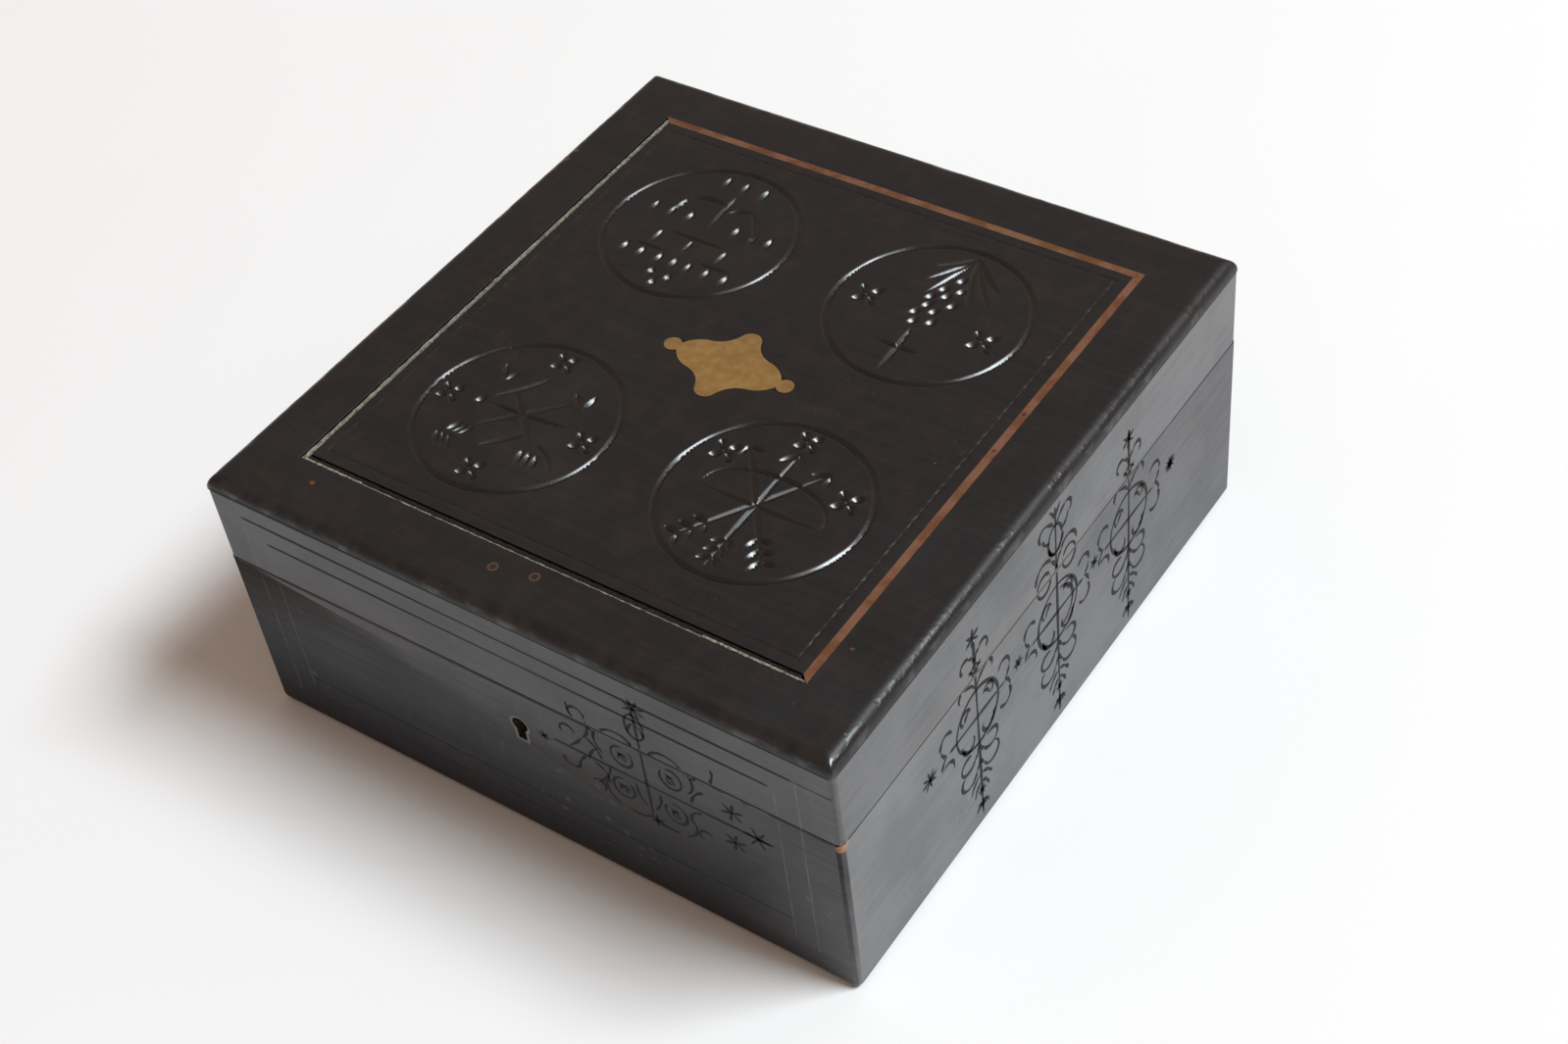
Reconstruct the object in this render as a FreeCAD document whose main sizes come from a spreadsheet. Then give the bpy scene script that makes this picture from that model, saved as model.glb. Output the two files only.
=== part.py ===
import FreeCAD, Part
import math
import os
from types import SimpleNamespace

import Sketcher
from FreeCAD import Placement, Rotation, Vector

# Hinged ink box of ebonised wood, closed and unlocked.
# Frame: origin under the middle of the box, +X to its right, +Y to its back, +Z up.
# All lengths are millimetres and all angles are degrees.

SIZES = {
    # Box and lid
    "box_width": 160.0,
    "box_depth": 164.0,
    "body_height": 48.1,
    "rim_gap": 0.3,
    "lid_side": 20.1,
    "top_board": 3.5,
    "side_wall": 7.0,
    "lid_inset": 0.1,
    "corner_round": 1.5,
    "foot_round": 2.0,
    "top_round": 3.2,
    "bottom_board": 5.0,
    "bottom_rebate": 3.5,
    # Inlay on the lid
    "string_left_inset": 14.8,
    "string_right_inset": 15.3,
    "string_front_inset": 14.9,
    "string_back_inset": 14.7,
    "string_width": 1.9,
    "string_depth": 1.5,
    "plate_length": 33.6,
    "plate_width": 22.0,
    "plate_thick": 1.2,
    "plate_lobe": 2.0,
    "plate_crown": 2.6,
    "peg_radius": 1.2,
    "peg_shift": 1.5,
    "peg_spacing": 9.3,
    "peg_left_inset": 9.8,
    "peg_right_inset": 11.7,
    # Keyhole and lock
    "key_left": 0.9,
    "key_depth": 11.2,
    "key_radius": 2.0,
    "key_slot": 2.3,
    "key_drop": 4.6,
    "liner_wall": 0.7,
    "lock_width": 36.0,
    "lock_drop": 20.0,
    "lock_depth": 4.7,
    "lock_plate": 0.8,
    "case_width": 26.0,
    "case_drop": 18.5,
    "case_skin": 0.5,
    "fit_gap": 0.1,
    "drill_pin": 0.7,
    "bolt_thick": 2.2,
    "bolt_bar": 2.4,
    "bolt_lift": 2.3,
    "bolt_travel": 3.6,
    "bolt_gap": 0.5,
    "tongue_length": 3.9,
    "tongue_thick": 1.2,
    "tongue_tall": 1.8,
    "hook_width": 2.0,
    "talon_radius": 1.5,
    "spring_length": 7.0,
    "spring_tall": 1.8,
    "spring_thick": 0.25,
    "staple_offset": 5.0,
    "staple_pitch": 12.0,
    "staple_thick": 1.5,
    "staple_wide": 3.0,
    "staple_foot": 0.9,
    "staple_gap": 0.6,
    "eye_play": 0.3,
    # Hinges
    "hinge_inset": 35.0,
    "hinge_length": 26.0,
    "hinge_reach": 5.5,
    "hinge_leaf": 1.2,
    "knuckle_span": 22.0,
    "knuckle_middle": 7.6,
    "knuckle_radius": 1.5,
    "knuckle_gap": 0.2,
    "pin_offset": 1.7,
    "pin_radius": 0.6,
    "pin_clearance": 0.04,
    "heel_reach": 2.3,
    "heel_drop": 4.5,
    "heel_angle": 50.0,
    # Tray
    "ledge_thick": 4.0,
    "ledge_top": 20.0,
    "seat_gap": 0.3,
    "tray_play": 0.8,
    "tray_height": 23.5,
    "tray_base": 2.6,
    "tray_wall": 3.5,
    "divider_thick": 3.0,
    "divider_drop": 4.0,
    "long_divider_x": 7.5,
    "cross_divider_inset": 29.2,
    "notch_half": 11.0,
    "notch_radius": 13.0,
    "rest_length": 38.0,
    "rest_thick": 4.0,
    "rest_tall": 8.0,
    "rest_front_inset": 24.7,
    "rest_back_inset": 36.7,
    "saddle_half": 0.8,
    "saddle_rise": 0.6,
    # What the tray holds
    "stone_margin": 2.35,
    "stone_tall": 14.0,
    "stone_rim": 6.0,
    "stone_land": 1.2,
    "stone_fall": 0.6,
    "stone_well": 7.0,
    "stone_well_length": 26.0,
    "stone_round": 4.0,
    "dropper_end_margin": 12.35,
    "dropper_margin": 2.85,
    "dropper_tall": 15.0,
    "dropper_round": 3.0,
    "dropper_hole": 1.0,
    "dropper_spout": 6.0,
    "stick_margin": 3.35,
    "stick_length": 72.0,
    "stick_tall": 8.0,
    "stick_edge": 1.0,
    "small_brush_inset": 11.7,
    "small_brush_radius": 3.0,
    "small_brush_hair": 20.0,
    "small_tip_gap": 8.7,
    "brush_pitch": 15.5,
    "large_brush_radius": 4.0,
    "large_brush_hair": 27.0,
    "large_tip_gap": 3.7,
    "brush_butt_gap": 6.7,
    "brush_butt_bevel": 0.8,
    "brush_wall": 0.9,
    "hair_root": 5.0,
    "hair_tip": 0.3,
}

# How far a cutting tool stands out of the wood
OVERCUT = 1.0

# Shape of the brass plate: necks as shares of the lobe, shoulders and flank radii of half the plate,
# crowns as shares of the crown's own radius
NECK_SHARE = (1.84, 0.55)
SHOULDER_SHARE = (0.48, 0.425)
CROWN_SHARE = (0.93, 0.63)
SWELL_SHARE = 0.44
HOLLOW_SHARE = 0.41

# Shape of a brush's hair: share of its length, and of the handle's radius
HAIR_SHAPE = ((0.12, 0.92), (0.55, 0.92))

doc = FreeCAD.newDocument("InkBox")
sheet = doc.addObject("Spreadsheet::Sheet", "Sizes")
for row, (alias, number) in enumerate(SIZES.items(), start=1):
    sheet.set(f"A{row}", alias)
    sheet.set(f"B{row}", str(number))
    sheet.setAlias(f"B{row}", alias)
doc.recompute()


class Size:
    """A length that knows its number and the sheet formula it comes from."""

    def __init__(self, number, formula):
        self.number = number
        self.formula = formula

    def __add__(self, other):
        other = as_size(other)
        return Size(self.number + other.number, f"({self.formula} + {other.formula})")

    def __sub__(self, other):
        other = as_size(other)
        return Size(self.number - other.number, f"({self.formula} - {other.formula})")

    def __rsub__(self, other):
        return as_size(other) - self

    def __mul__(self, factor):
        factor = as_size(factor)
        return Size(self.number * factor.number, f"({self.formula} * {factor.formula})")

    def __truediv__(self, factor):
        return Size(self.number / factor, f"({self.formula} / {factor})")

    def __neg__(self):
        return Size(-self.number, f"(-{self.formula})")

    __radd__ = __add__
    __rmul__ = __mul__


def as_size(value):
    """A plain number, or a size as it is."""
    if isinstance(value, Size):
        return value
    return Size(float(value), f"({float(value)})")


def cosine(angle):
    """Cosine of an angle that is a size in degrees."""
    return Size(math.cos(math.radians(angle.number)), f"cos({angle.formula} * 1 deg)")


def sine(angle):
    """Sine of an angle that is a size in degrees."""
    return Size(math.sin(math.radians(angle.number)), f"sin({angle.formula} * 1 deg)")


size = SimpleNamespace(**{alias: Size(number, f"Sizes.{alias}") for alias, number in SIZES.items()})
pieces = []


# Drawing helpers

def bind(item, prop, value):
    """Tie one property of an object to the sheet."""
    item.setExpression(prop, as_size(value).formula)


def place(item, x, y, z):
    """Tie the position of an object to the sheet."""
    for axis, value in zip("xyz", (x, y, z)):
        bind(item, f"Placement.Base.{axis}", value)


def block(label, across, along, upward):
    """Rectangular block between two values on each of X, Y and Z."""
    item = doc.addObject("Part::Box", label)
    for prop, (low, high) in zip(("Length", "Width", "Height"), (across, along, upward)):
        bind(item, prop, as_size(high) - low)
    place(item, across[0], along[0], upward[0])
    return item


TURN_TO = {
    "x": Rotation(Vector(0, 0, 1), Vector(1, 0, 0)),
    "y": Rotation(Vector(0, 0, 1), Vector(0, 1, 0)),
    "z": Rotation(),
    "-y": Rotation(Vector(0, 0, 1), Vector(0, -1, 0)),
}


def rod(label, radius, length, axis, x, y, z):
    """Cylinder that starts at a point and runs along an axis."""
    item = doc.addObject("Part::Cylinder", label)
    item.Placement = Placement(Vector(), TURN_TO[axis])
    bind(item, "Radius", radius)
    bind(item, "Height", length)
    place(item, x, y, z)
    return item


def join(label, items):
    """One solid made of several that overlap."""
    fused = doc.addObject("Part::MultiFuse", label)
    fused.Shapes = items
    fused.Refine = True
    return fused


def cut(label, base, tools):
    """A solid less one or more others."""
    result = doc.addObject("Part::Cut", label)
    result.Base = base
    result.Tool = tools[0] if len(tools) == 1 else group(label + "_tools", tools)
    result.Refine = True
    return result


def common(label, base, tool):
    """What two solids share."""
    result = doc.addObject("Part::Common", label)
    result.Base = base
    result.Tool = tool
    result.Refine = True
    return result


def group(label, items):
    """Several solids kept side by side."""
    result = doc.addObject("Part::Compound", label)
    result.Links = items
    return result


def piece(item):
    """Keep an object as a sub-part under its own label."""
    pieces.append(item)
    return item


# Sketching helpers

def new_body(label):
    """Empty body that features are added to."""
    return doc.addObject("PartDesign::Body", label)


def sketch_on(body, name, plane, offset):
    """Sketch on an origin plane of a body, moved along the plane's normal."""
    sketch = body.newObject("Sketcher::SketchObject", name)
    support = next(item for item in body.Origin.OriginFeatures if item.Role == plane)
    sketch.AttachmentSupport = [(support, "")]
    sketch.MapMode = "FlatFace"
    bind(sketch, "AttachmentOffset.Base.z", offset)
    return sketch


def hold_point(sketch, line, end, corner):
    """Hold one end of a line at a point given as two sizes."""
    for kind, value in zip(("DistanceX", "DistanceY"), corner):
        value = as_size(value)
        number = sketch.addConstraint(Sketcher.Constraint(kind, -1, 1, line, end, value.number))
        bind(sketch, f"Constraints[{number}]", value)


def flat(corner):
    """Point of a corner that is given as two sizes."""
    return Vector(as_size(corner[0]).number, as_size(corner[1]).number, 0)


def bend_between(start, end, radius, bulge):
    """Arc under a half circle; bulge 1 bows to the right of the way, -1 to the left."""
    chord = end - start
    right = Vector(chord.y, -chord.x, 0).normalize()
    depth = math.sqrt(max(radius ** 2 - (chord.Length / 2) ** 2, 0))
    centre = (start + end) / 2 - right * bulge * depth
    first, last = (start, end) if bulge > 0 else (end, start)
    turn_in = math.atan2(first.y - centre.y, first.x - centre.x)
    turn_out = math.atan2(last.y - centre.y, last.x - centre.x)
    if turn_out <= turn_in:
        turn_out += 2 * math.pi
    return Part.ArcOfCircle(Part.Circle(centre, Vector(0, 0, 1), radius), turn_in, turn_out)


def outline(sketch, corners, bends=None):
    """Closed outline; bends maps a corner's number to the radius and bulge of the arc after it."""
    bends = bends or {}
    first = sketch.GeometryCount
    count = len(corners)
    ends = []
    for index in range(count):
        start, end = flat(corners[index]), flat(corners[(index + 1) % count])
        if index in bends:
            radius, bulge = bends[index]
            sketch.addGeometry(bend_between(start, end, as_size(radius).number, bulge))
            ends.append((1, 2) if bulge > 0 else (2, 1))
        else:
            sketch.addGeometry(Part.LineSegment(start, end))
            ends.append((1, 2))
    for index in range(count):
        after = (index + 1) % count
        joint = (first + index, ends[index][1], first + after, ends[after][0])
        sketch.addConstraint(Sketcher.Constraint("Coincident", *joint))
    for index, corner in enumerate(corners):
        hold_point(sketch, first + index, ends[index][0], corner)
    for index, (radius, _) in bends.items():
        radius = as_size(radius)
        number = sketch.addConstraint(Sketcher.Constraint("Radius", first + index, radius.number))
        bind(sketch, f"Constraints[{number}]", radius)


def oblong(across, along):
    """Corners of a rectangle between two values each way."""
    return [
        (across[0], along[0]),
        (across[1], along[0]),
        (across[1], along[1]),
        (across[0], along[1]),
    ]


def circle(sketch, radius, centre):
    """Circle round a point given as two sizes."""
    radius = as_size(radius)
    line = sketch.addGeometry(Part.Circle(flat(centre), Vector(0, 0, 1), radius.number))
    number = sketch.addConstraint(Sketcher.Constraint("Radius", line, radius.number))
    bind(sketch, f"Constraints[{number}]", radius)
    hold_point(sketch, line, 3, centre)


def pad(body, name, plane, near, far, draw):
    """Material between two values along the plane's axis; draw fills the sketch."""
    backward = plane == "XZ_Plane"
    sketch = sketch_on(body, name + "_sketch", plane, -as_size(near) if backward else near)
    draw(sketch)
    feature = body.newObject("PartDesign::Pad", name)
    feature.Profile = sketch
    feature.Reversed = backward
    bind(feature, "Length", as_size(far) - near)
    return feature


def pocket(body, name, plane, near, far, draw):
    """Material taken out between two values along the plane's axis."""
    backward = plane == "XZ_Plane"
    sketch = sketch_on(body, name + "_sketch", plane, -as_size(near) if backward else far)
    draw(sketch)
    feature = body.newObject("PartDesign::Pocket", name)
    feature.Profile = sketch
    bind(feature, "Length", as_size(far) - near)
    return feature


def prism(label, plane, near, far, corners, bends=None):
    """Body with one outline between two values along the plane's axis."""
    body = new_body(label)
    pad(body, label + "_pad", plane, near, far, lambda sketch: outline(sketch, corners, bends))
    return body


def spindle(label, corners, x, y, z):
    """Body turned round Y; each corner is a radius and a length along the axis."""
    body = new_body(label)
    sketch = sketch_on(body, label + "_profile", "XY_Plane", 0)
    outline(sketch, corners)
    feature = body.newObject("PartDesign::Revolution", label + "_turned")
    feature.Profile = sketch
    feature.ReferenceAxis = (sketch, ["V_Axis"])
    feature.Angle = 360
    place(body, x, y, z)
    return body


def round_edges(body, name, radius, wanted):
    """Rounding of the edges of a body's last feature that a test picks out."""
    doc.recompute()
    last = body.Tip
    edges = enumerate(last.Shape.Edges, start=1)
    names = [f"Edge{number}" for number, edge in edges if wanted(edge)]
    feature = body.newObject("PartDesign::Fillet", name)
    feature.Base = (last, names)
    bind(feature, "Radius", radius)
    return feature


NEAR = 1e-4


def is_upright(edge):
    """Whether an edge runs along Z."""
    box = edge.BoundBox
    return box.XLength < NEAR and box.YLength < NEAR


def runs_along_y(edge):
    """Whether an edge runs along Y."""
    box = edge.BoundBox
    return box.XLength < NEAR and box.ZLength < NEAR


def at_height(value):
    """Test for edges that lie at one height."""
    def wanted(edge):
        box = edge.BoundBox
        return abs(box.ZMin - value.number) < NEAR and abs(box.ZMax - value.number) < NEAR
    return wanted


# Places that several pieces share

GROUND = as_size(0)
half_width = size.box_width / 2
half_depth = size.box_depth / 2
inner_half_width = half_width - size.side_wall
inner_half_depth = half_depth - size.side_wall
rim = size.body_height
lid_bottom = rim + size.rim_gap
lid_panel_bottom = lid_bottom + size.lid_side
lid_top = lid_panel_bottom + size.top_board
lid_half_width = half_width - size.lid_inset
lid_half_depth = half_depth - size.lid_inset
pin_y = half_depth + size.pin_offset
pin_z = rim + size.rim_gap / 2
inner_front = -inner_half_depth
lock_front = inner_front - size.lock_depth
plate_front = inner_front - size.lock_plate
key_x = -size.key_left
key_height = rim - size.key_depth
hinge_x = half_width - size.hinge_inset
string_edges = SimpleNamespace(
    left=size.string_left_inset - lid_half_width,
    right=lid_half_width - size.string_right_inset,
    front=size.string_front_inset - lid_half_depth,
    back=lid_half_depth - size.string_back_inset,
)
inlay_x = (string_edges.left + string_edges.right) / 2
inlay_y = (string_edges.front + string_edges.back) / 2


# Mitred sides, shaped as one ring and parted at the mitres

SIDES = ("front", "right", "back", "left")
QUARTER_TURN = 90.0


def turn_of(side):
    """Angle that a side lies at, and whether it runs front to back."""
    turns = SIDES.index(side)
    return QUARTER_TURN * turns, turns % 2 == 1


def ring(label, half_x, half_y, low, high):
    """Four-sided frame with rounded upright corners."""
    body = new_body(label)

    def draw(sketch):
        outline(sketch, oblong((-half_x, half_x), (-half_y, half_y)))

    def draw_hollow(sketch):
        inner_x, inner_y = half_x - size.side_wall, half_y - size.side_wall
        outline(sketch, oblong((-inner_x, inner_x), (-inner_y, inner_y)))

    pad(body, label + "_block", "XY_Plane", low, high, draw)
    round_edges(body, label + "_corners", size.corner_round, is_upright)
    if low is GROUND:
        round_edges(body, label + "_feet", size.foot_round, at_height(low))
    pocket(body, label + "_hollow", "XY_Plane", low, high, draw_hollow)
    return body


def mitre(label, half_run, half_span, low, high, angle):
    """Wedge that one side of a ring is cut out with, mitred at 45 degrees at both ends."""
    wedge = doc.addObject("Part::Wedge", label)
    wedge.Placement = Placement(Vector(), Rotation(Vector(0, 0, 1), angle))
    outer_run = half_run + OVERCUT
    inner_run = half_run - size.side_wall - OVERCUT
    values = {
        "Ymin": -(half_span + OVERCUT),
        "Ymax": -(half_span - size.side_wall - OVERCUT),
        "Xmin": -outer_run,
        "Xmax": outer_run,
        "X2min": -inner_run,
        "X2max": inner_run,
        "Zmin": low - OVERCUT,
        "Z2min": low - OVERCUT,
        "Zmax": high + OVERCUT,
        "Z2max": high + OVERCUT,
    }
    for prop, value in values.items():
        bind(wedge, prop, value)
    return wedge


def mitred_side(label, frame, half_x, half_y, low, high, side):
    """One side of a ring."""
    angle, turned = turn_of(side)
    half_run, half_span = (half_y, half_x) if turned else (half_x, half_y)
    return common(label, frame, mitre(label + "_mitre", half_run, half_span, low, high, angle))


def keyhole(label, grow, near, far):
    """Round head with a slot below it, running along Y; grow widens it all round."""
    head_radius = size.key_radius + grow
    head = rod(label + "_head", head_radius, as_size(far) - near, "y", key_x, near, key_height)
    slot = block(
        label + "_slot",
        around_lock(size.key_slot / 2 + grow),
        (near, far),
        (key_height - size.key_drop - grow, key_height),
    )
    return join(label, [head, slot])


def around_lock(half):
    """Span of X that is centred on the lock."""
    return (key_x - half, key_x + half)


def hinge_mortises(label, low, high):
    """Hollows that the hinge leaves are let into."""
    half = size.hinge_length / 2 + size.fit_gap
    return [
        block(
            f"{label}_{number}",
            (side * hinge_x - half, side * hinge_x + half),
            (half_depth - size.hinge_reach - size.fit_gap, half_depth + OVERCUT),
            (low, high),
        )
        for number, side in enumerate((-1, 1), start=1)
    ]


def make_box_sides():
    """Four walls and the bottom board let into them."""
    shape = (half_width, half_depth, GROUND, rim)
    frame = ring("body_ring", *shape)
    seat_x = inner_half_width + size.bottom_rebate
    seat_y = inner_half_depth + size.bottom_rebate
    rebate = block("bottom_seat", (-seat_x, seat_x), (-seat_y, seat_y), (-OVERCUT, size.bottom_board))
    sides = {side: mitred_side(f"{side}_side", frame, *shape, side) for side in SIDES}
    lock_mortise = [
        block(
            "lock_plate_mortise",
            around_lock(size.lock_width / 2 + size.fit_gap),
            (plate_front, inner_front + OVERCUT),
            (rim - size.lock_drop - size.fit_gap, rim + OVERCUT),
        ),
        block(
            "lock_edge_mortise",
            around_lock(size.lock_width / 2 + size.fit_gap),
            (lock_front - size.fit_gap, inner_front + OVERCUT),
            (rim - size.lock_plate, rim + OVERCUT),
        ),
        block(
            "lock_case_mortise",
            around_lock(size.case_width / 2 + size.fit_gap),
            (lock_front, inner_front + OVERCUT),
            (rim - size.case_drop - size.fit_gap, rim + OVERCUT),
        ),
    ]
    key_cut = keyhole("keyhole_cut", size.liner_wall, -(half_depth + OVERCUT), lock_front + OVERCUT)
    mortises = hinge_mortises("box_mortise", rim - size.hinge_leaf, rim + OVERCUT)
    piece(cut("front_wall", sides["front"], [rebate, key_cut] + lock_mortise))
    piece(cut("back_wall", sides["back"], [rebate] + mortises))
    piece(cut("left_wall", sides["left"], [rebate]))
    piece(cut("right_wall", sides["right"], [rebate]))
    piece(block("bottom_board", (-seat_x, seat_x), (-seat_y, seat_y), (GROUND, size.bottom_board)))


def make_ledges():
    """Strips on the side walls that the tray stands on."""
    upward = (size.bottom_board, size.ledge_top)
    along = (-inner_half_depth, inner_half_depth)
    edge = inner_half_width - size.ledge_thick
    piece(block("tray_ledge_left", (-inner_half_width, -edge), along, upward))
    piece(block("tray_ledge_right", (edge, inner_half_width), along, upward))


# Lock

def make_keyhole_liner():
    """Thin lining of the keyhole through the wood in front of the lock."""
    outside = keyhole("liner_outside", size.liner_wall, -half_depth, lock_front)
    bore = keyhole("liner_bore", 0, -(half_depth + OVERCUT), lock_front + OVERCUT)
    piece(cut("keyhole_liner", outside, [bore]))


def staple_span(offset, grow):
    """Span of X that one staple takes, grown on both sides."""
    half = size.staple_thick / 2 + grow
    return (key_x + offset - half, key_x + offset + half)


bolt_back = plate_front - size.fit_gap
bolt_front = bolt_back - size.bolt_thick
tongue_back = bolt_front + size.tongue_thick
eye_front = bolt_front - size.eye_play
eye_back = tongue_back + size.eye_play
staple_middle = (eye_front + eye_back) / 2
staple_along = (staple_middle - size.staple_wide / 2, staple_middle + size.staple_wide / 2)
bolt_height = key_height + size.bolt_lift
bar_top = bolt_height + size.bolt_bar
staple_bottom = bar_top + size.staple_gap
tongue_height = staple_bottom + size.staple_foot + size.eye_play
tongue_top = tongue_height + size.tongue_tall
case_room = size.case_width / 2 - size.case_skin
staple_offsets = (-size.staple_offset, size.staple_pitch - size.staple_offset)


def make_lock_plates():
    """Back plate with its edge plate, the case, and the pin that the key turns on."""
    back = block(
        "lock_plate_back",
        around_lock(size.lock_width / 2),
        (plate_front, inner_front),
        (rim - size.lock_drop, rim),
    )
    edge = block(
        "lock_plate_edge",
        around_lock(size.lock_width / 2),
        (lock_front, inner_front),
        (rim - size.lock_plate, rim),
    )
    slots = [
        block(
            f"staple_slot_{number}",
            staple_span(offset, size.eye_play),
            (staple_along[0] - size.eye_play, staple_along[1] + size.eye_play),
            (rim - size.lock_plate - OVERCUT, rim + OVERCUT),
        )
        for number, offset in enumerate(staple_offsets, start=1)
    ]
    piece(cut("lock_back_plate", join("lock_plates", [back, edge]), slots))
    skin = size.case_skin
    shell = block(
        "case_outside",
        around_lock(size.case_width / 2),
        (lock_front, plate_front),
        (rim - size.case_drop, rim - size.lock_plate),
    )
    room = block(
        "case_room",
        around_lock(case_room),
        (lock_front + skin, plate_front + OVERCUT),
        (rim - size.case_drop + skin, rim),
    )
    key_cut = keyhole("case_keyhole", 0, lock_front - OVERCUT, lock_front + skin + OVERCUT)
    piece(cut("lock_cap", shell, [room, key_cut]))
    reach = plate_front - lock_front - skin
    piece(rod("lock_pin", size.drill_pin, reach, "-y", key_x, plate_front, key_height))


def make_bolt():
    """Bar with two hooked tongues; the key's bit works in the talon under it."""
    gap_to_staple = size.staple_thick / 2 + size.bolt_gap
    along = (bolt_front, tongue_back)
    parts = []
    starts = []
    for number, offset in enumerate(staple_offsets, start=1):
        tip = key_x + offset - gap_to_staple
        root = tip - size.tongue_length
        start = root - size.hook_width
        parts.append(block(f"bolt_hook_{number}", (start, root), along, (bolt_height, tongue_top)))
        parts.append(block(f"bolt_tongue_{number}", (start, tip), along, (tongue_height, tongue_top)))
        starts.append(start)
    bar_across = (starts[0], key_x + case_room - size.bolt_travel - size.eye_play)
    parts.append(block("bolt_bar", bar_across, (bolt_front, bolt_back), (bolt_height, bar_top)))
    talon = rod(
        "bolt_talon",
        size.talon_radius,
        size.bolt_thick + 2 * OVERCUT,
        "y",
        key_x - size.bolt_travel / 2,
        bolt_front - OVERCUT,
        bolt_height,
    )
    piece(cut("lock_bolt", join("bolt_blank", parts), [talon]))


def make_lock_spring():
    """Bowed strip between the case and the bolt's bar."""
    half = size.spring_length / 2
    skin_face = lock_front + size.case_skin
    crest = bolt_front - size.fit_gap
    rise = crest - skin_face - size.spring_thick
    radius = Size(
        (half.number ** 2 + rise.number ** 2) / (2 * rise.number),
        f"(({half.formula} ^ 2 + {rise.formula} ^ 2) / (2 * {rise.formula}))",
    )
    middle = key_x - size.staple_offset - size.tongue_length / 2
    left, right = middle - half, middle + half
    lift = size.spring_thick
    corners = [
        (left, skin_face),
        (middle, skin_face + rise),
        (right, skin_face),
        (right, skin_face + lift),
        (middle, crest),
        (left, skin_face + lift),
    ]
    bends = {0: (radius, -1), 1: (radius, -1), 3: (radius, 1), 4: (radius, 1)}
    low = bolt_height + (size.bolt_bar - size.spring_tall) / 2
    piece(prism("lock_spring", "XY_Plane", low, low + size.spring_tall, corners, bends))


def make_link():
    """Plate under the lid's front rail with the two staples that the bolt catches."""
    plate = block(
        "link_strip",
        around_lock(size.lock_width / 2),
        (lock_front, inner_front - size.lid_inset),
        (lid_bottom, lid_bottom + size.lock_plate),
    )
    staple_up = (staple_bottom, lid_bottom + size.lock_plate)
    eye_up = (staple_bottom + size.staple_foot, tongue_top + size.eye_play)
    parts = [plate]
    eyes = []
    for number, offset in enumerate(staple_offsets, start=1):
        parts.append(block(f"staple_{number}", staple_span(offset, 0), staple_along, staple_up))
        eye_across = staple_span(offset, OVERCUT)
        eyes.append(block(f"staple_eye_{number}", eye_across, (eye_front, eye_back), eye_up))
    piece(cut("link_plate", join("link_blank", parts), eyes))


# Hinges

def knuckle(label, start, end):
    """Stretch of the hinge's barrel."""
    return rod(label, size.knuckle_radius, end - start, "x", start, pin_y, pin_z)


def heel(label, start, end, up):
    """Stop behind the barrel; its sloping face meets the other leaf's when the lid is open."""
    back = half_depth - size.lid_inset if up > 0 else half_depth
    near = pin_z + up * size.rim_gap / 2
    tip_y = pin_y + size.heel_reach * cosine(size.heel_angle)
    tip_z = near + up * size.heel_reach * sine(size.heel_angle)
    corners = [(back, near), (pin_y, near), (tip_y, tip_z), (back, near + up * size.heel_drop)]
    if up < 0:
        corners.reverse()
    return prism(label, "YZ_Plane", start, end, corners)


def hinge_leaf(label, middle, up):
    """Half of a stop hinge: up is 1 for the lid's leaf and -1 for the box's."""
    half = size.hinge_length / 2
    span = size.knuckle_span / 2
    centre = size.knuckle_middle / 2
    face = lid_bottom if up > 0 else rim
    upward = (face, face + size.hinge_leaf) if up > 0 else (face - size.hinge_leaf, face)
    front = half_depth - size.hinge_reach
    leg = block(label + "_leg", (middle - half, middle + half), (front, pin_y), upward)
    clear_y = (pin_y - size.knuckle_radius - size.knuckle_gap, pin_y + OVERCUT)
    clear_z = (pin_z - size.knuckle_radius, pin_z + size.knuckle_radius)
    heels = [
        heel(label + "_heel_left", middle - half, middle - span - size.knuckle_gap, up),
        heel(label + "_heel_right", middle + span + size.knuckle_gap, middle + half, up),
    ]
    if up > 0:
        parts = [knuckle(label + "_knuckle", middle - centre, middle + centre)]
        edge = span + size.knuckle_gap
        gaps = [(middle - edge, middle - centre), (middle + centre, middle + edge)]
    else:
        edge = centre + size.knuckle_gap
        parts = [
            knuckle(label + "_knuckle_left", middle - span, middle - edge),
            knuckle(label + "_knuckle_right", middle + edge, middle + span),
        ]
        gaps = [
            (middle - span - size.knuckle_gap, middle - span),
            (middle - edge, middle + edge),
            (middle + span, middle + span + size.knuckle_gap),
        ]
    clears = [
        block(f"{label}_clear_{number}", gap, clear_y, clear_z)
        for number, gap in enumerate(gaps, start=1)
    ]
    blank = join(label + "_blank", [cut(label + "_notched", leg, clears)] + parts + heels)
    bore_radius = size.pin_radius + size.pin_clearance
    bore_start = middle - span - size.knuckle_gap
    bore_length = size.knuckle_span + 2 * size.knuckle_gap
    bore = rod(label + "_bore", bore_radius, bore_length, "x", bore_start, pin_y, pin_z)
    piece(cut(label, blank, [bore]))


def make_hinges():
    """Two stop hinges: a leaf on the box, a leaf on the lid and a pin each."""
    length = size.knuckle_span
    for side, way in (("left", -1), ("right", 1)):
        middle = way * hinge_x
        hinge_leaf(f"hinge_leaf_box_{side}", middle, -1)
        hinge_leaf(f"hinge_leaf_lid_{side}", middle, 1)
        start = middle - length / 2
        piece(rod(f"hinge_pin_{side}", size.pin_radius, length, "x", start, pin_y, pin_z))


# Lid

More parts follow.
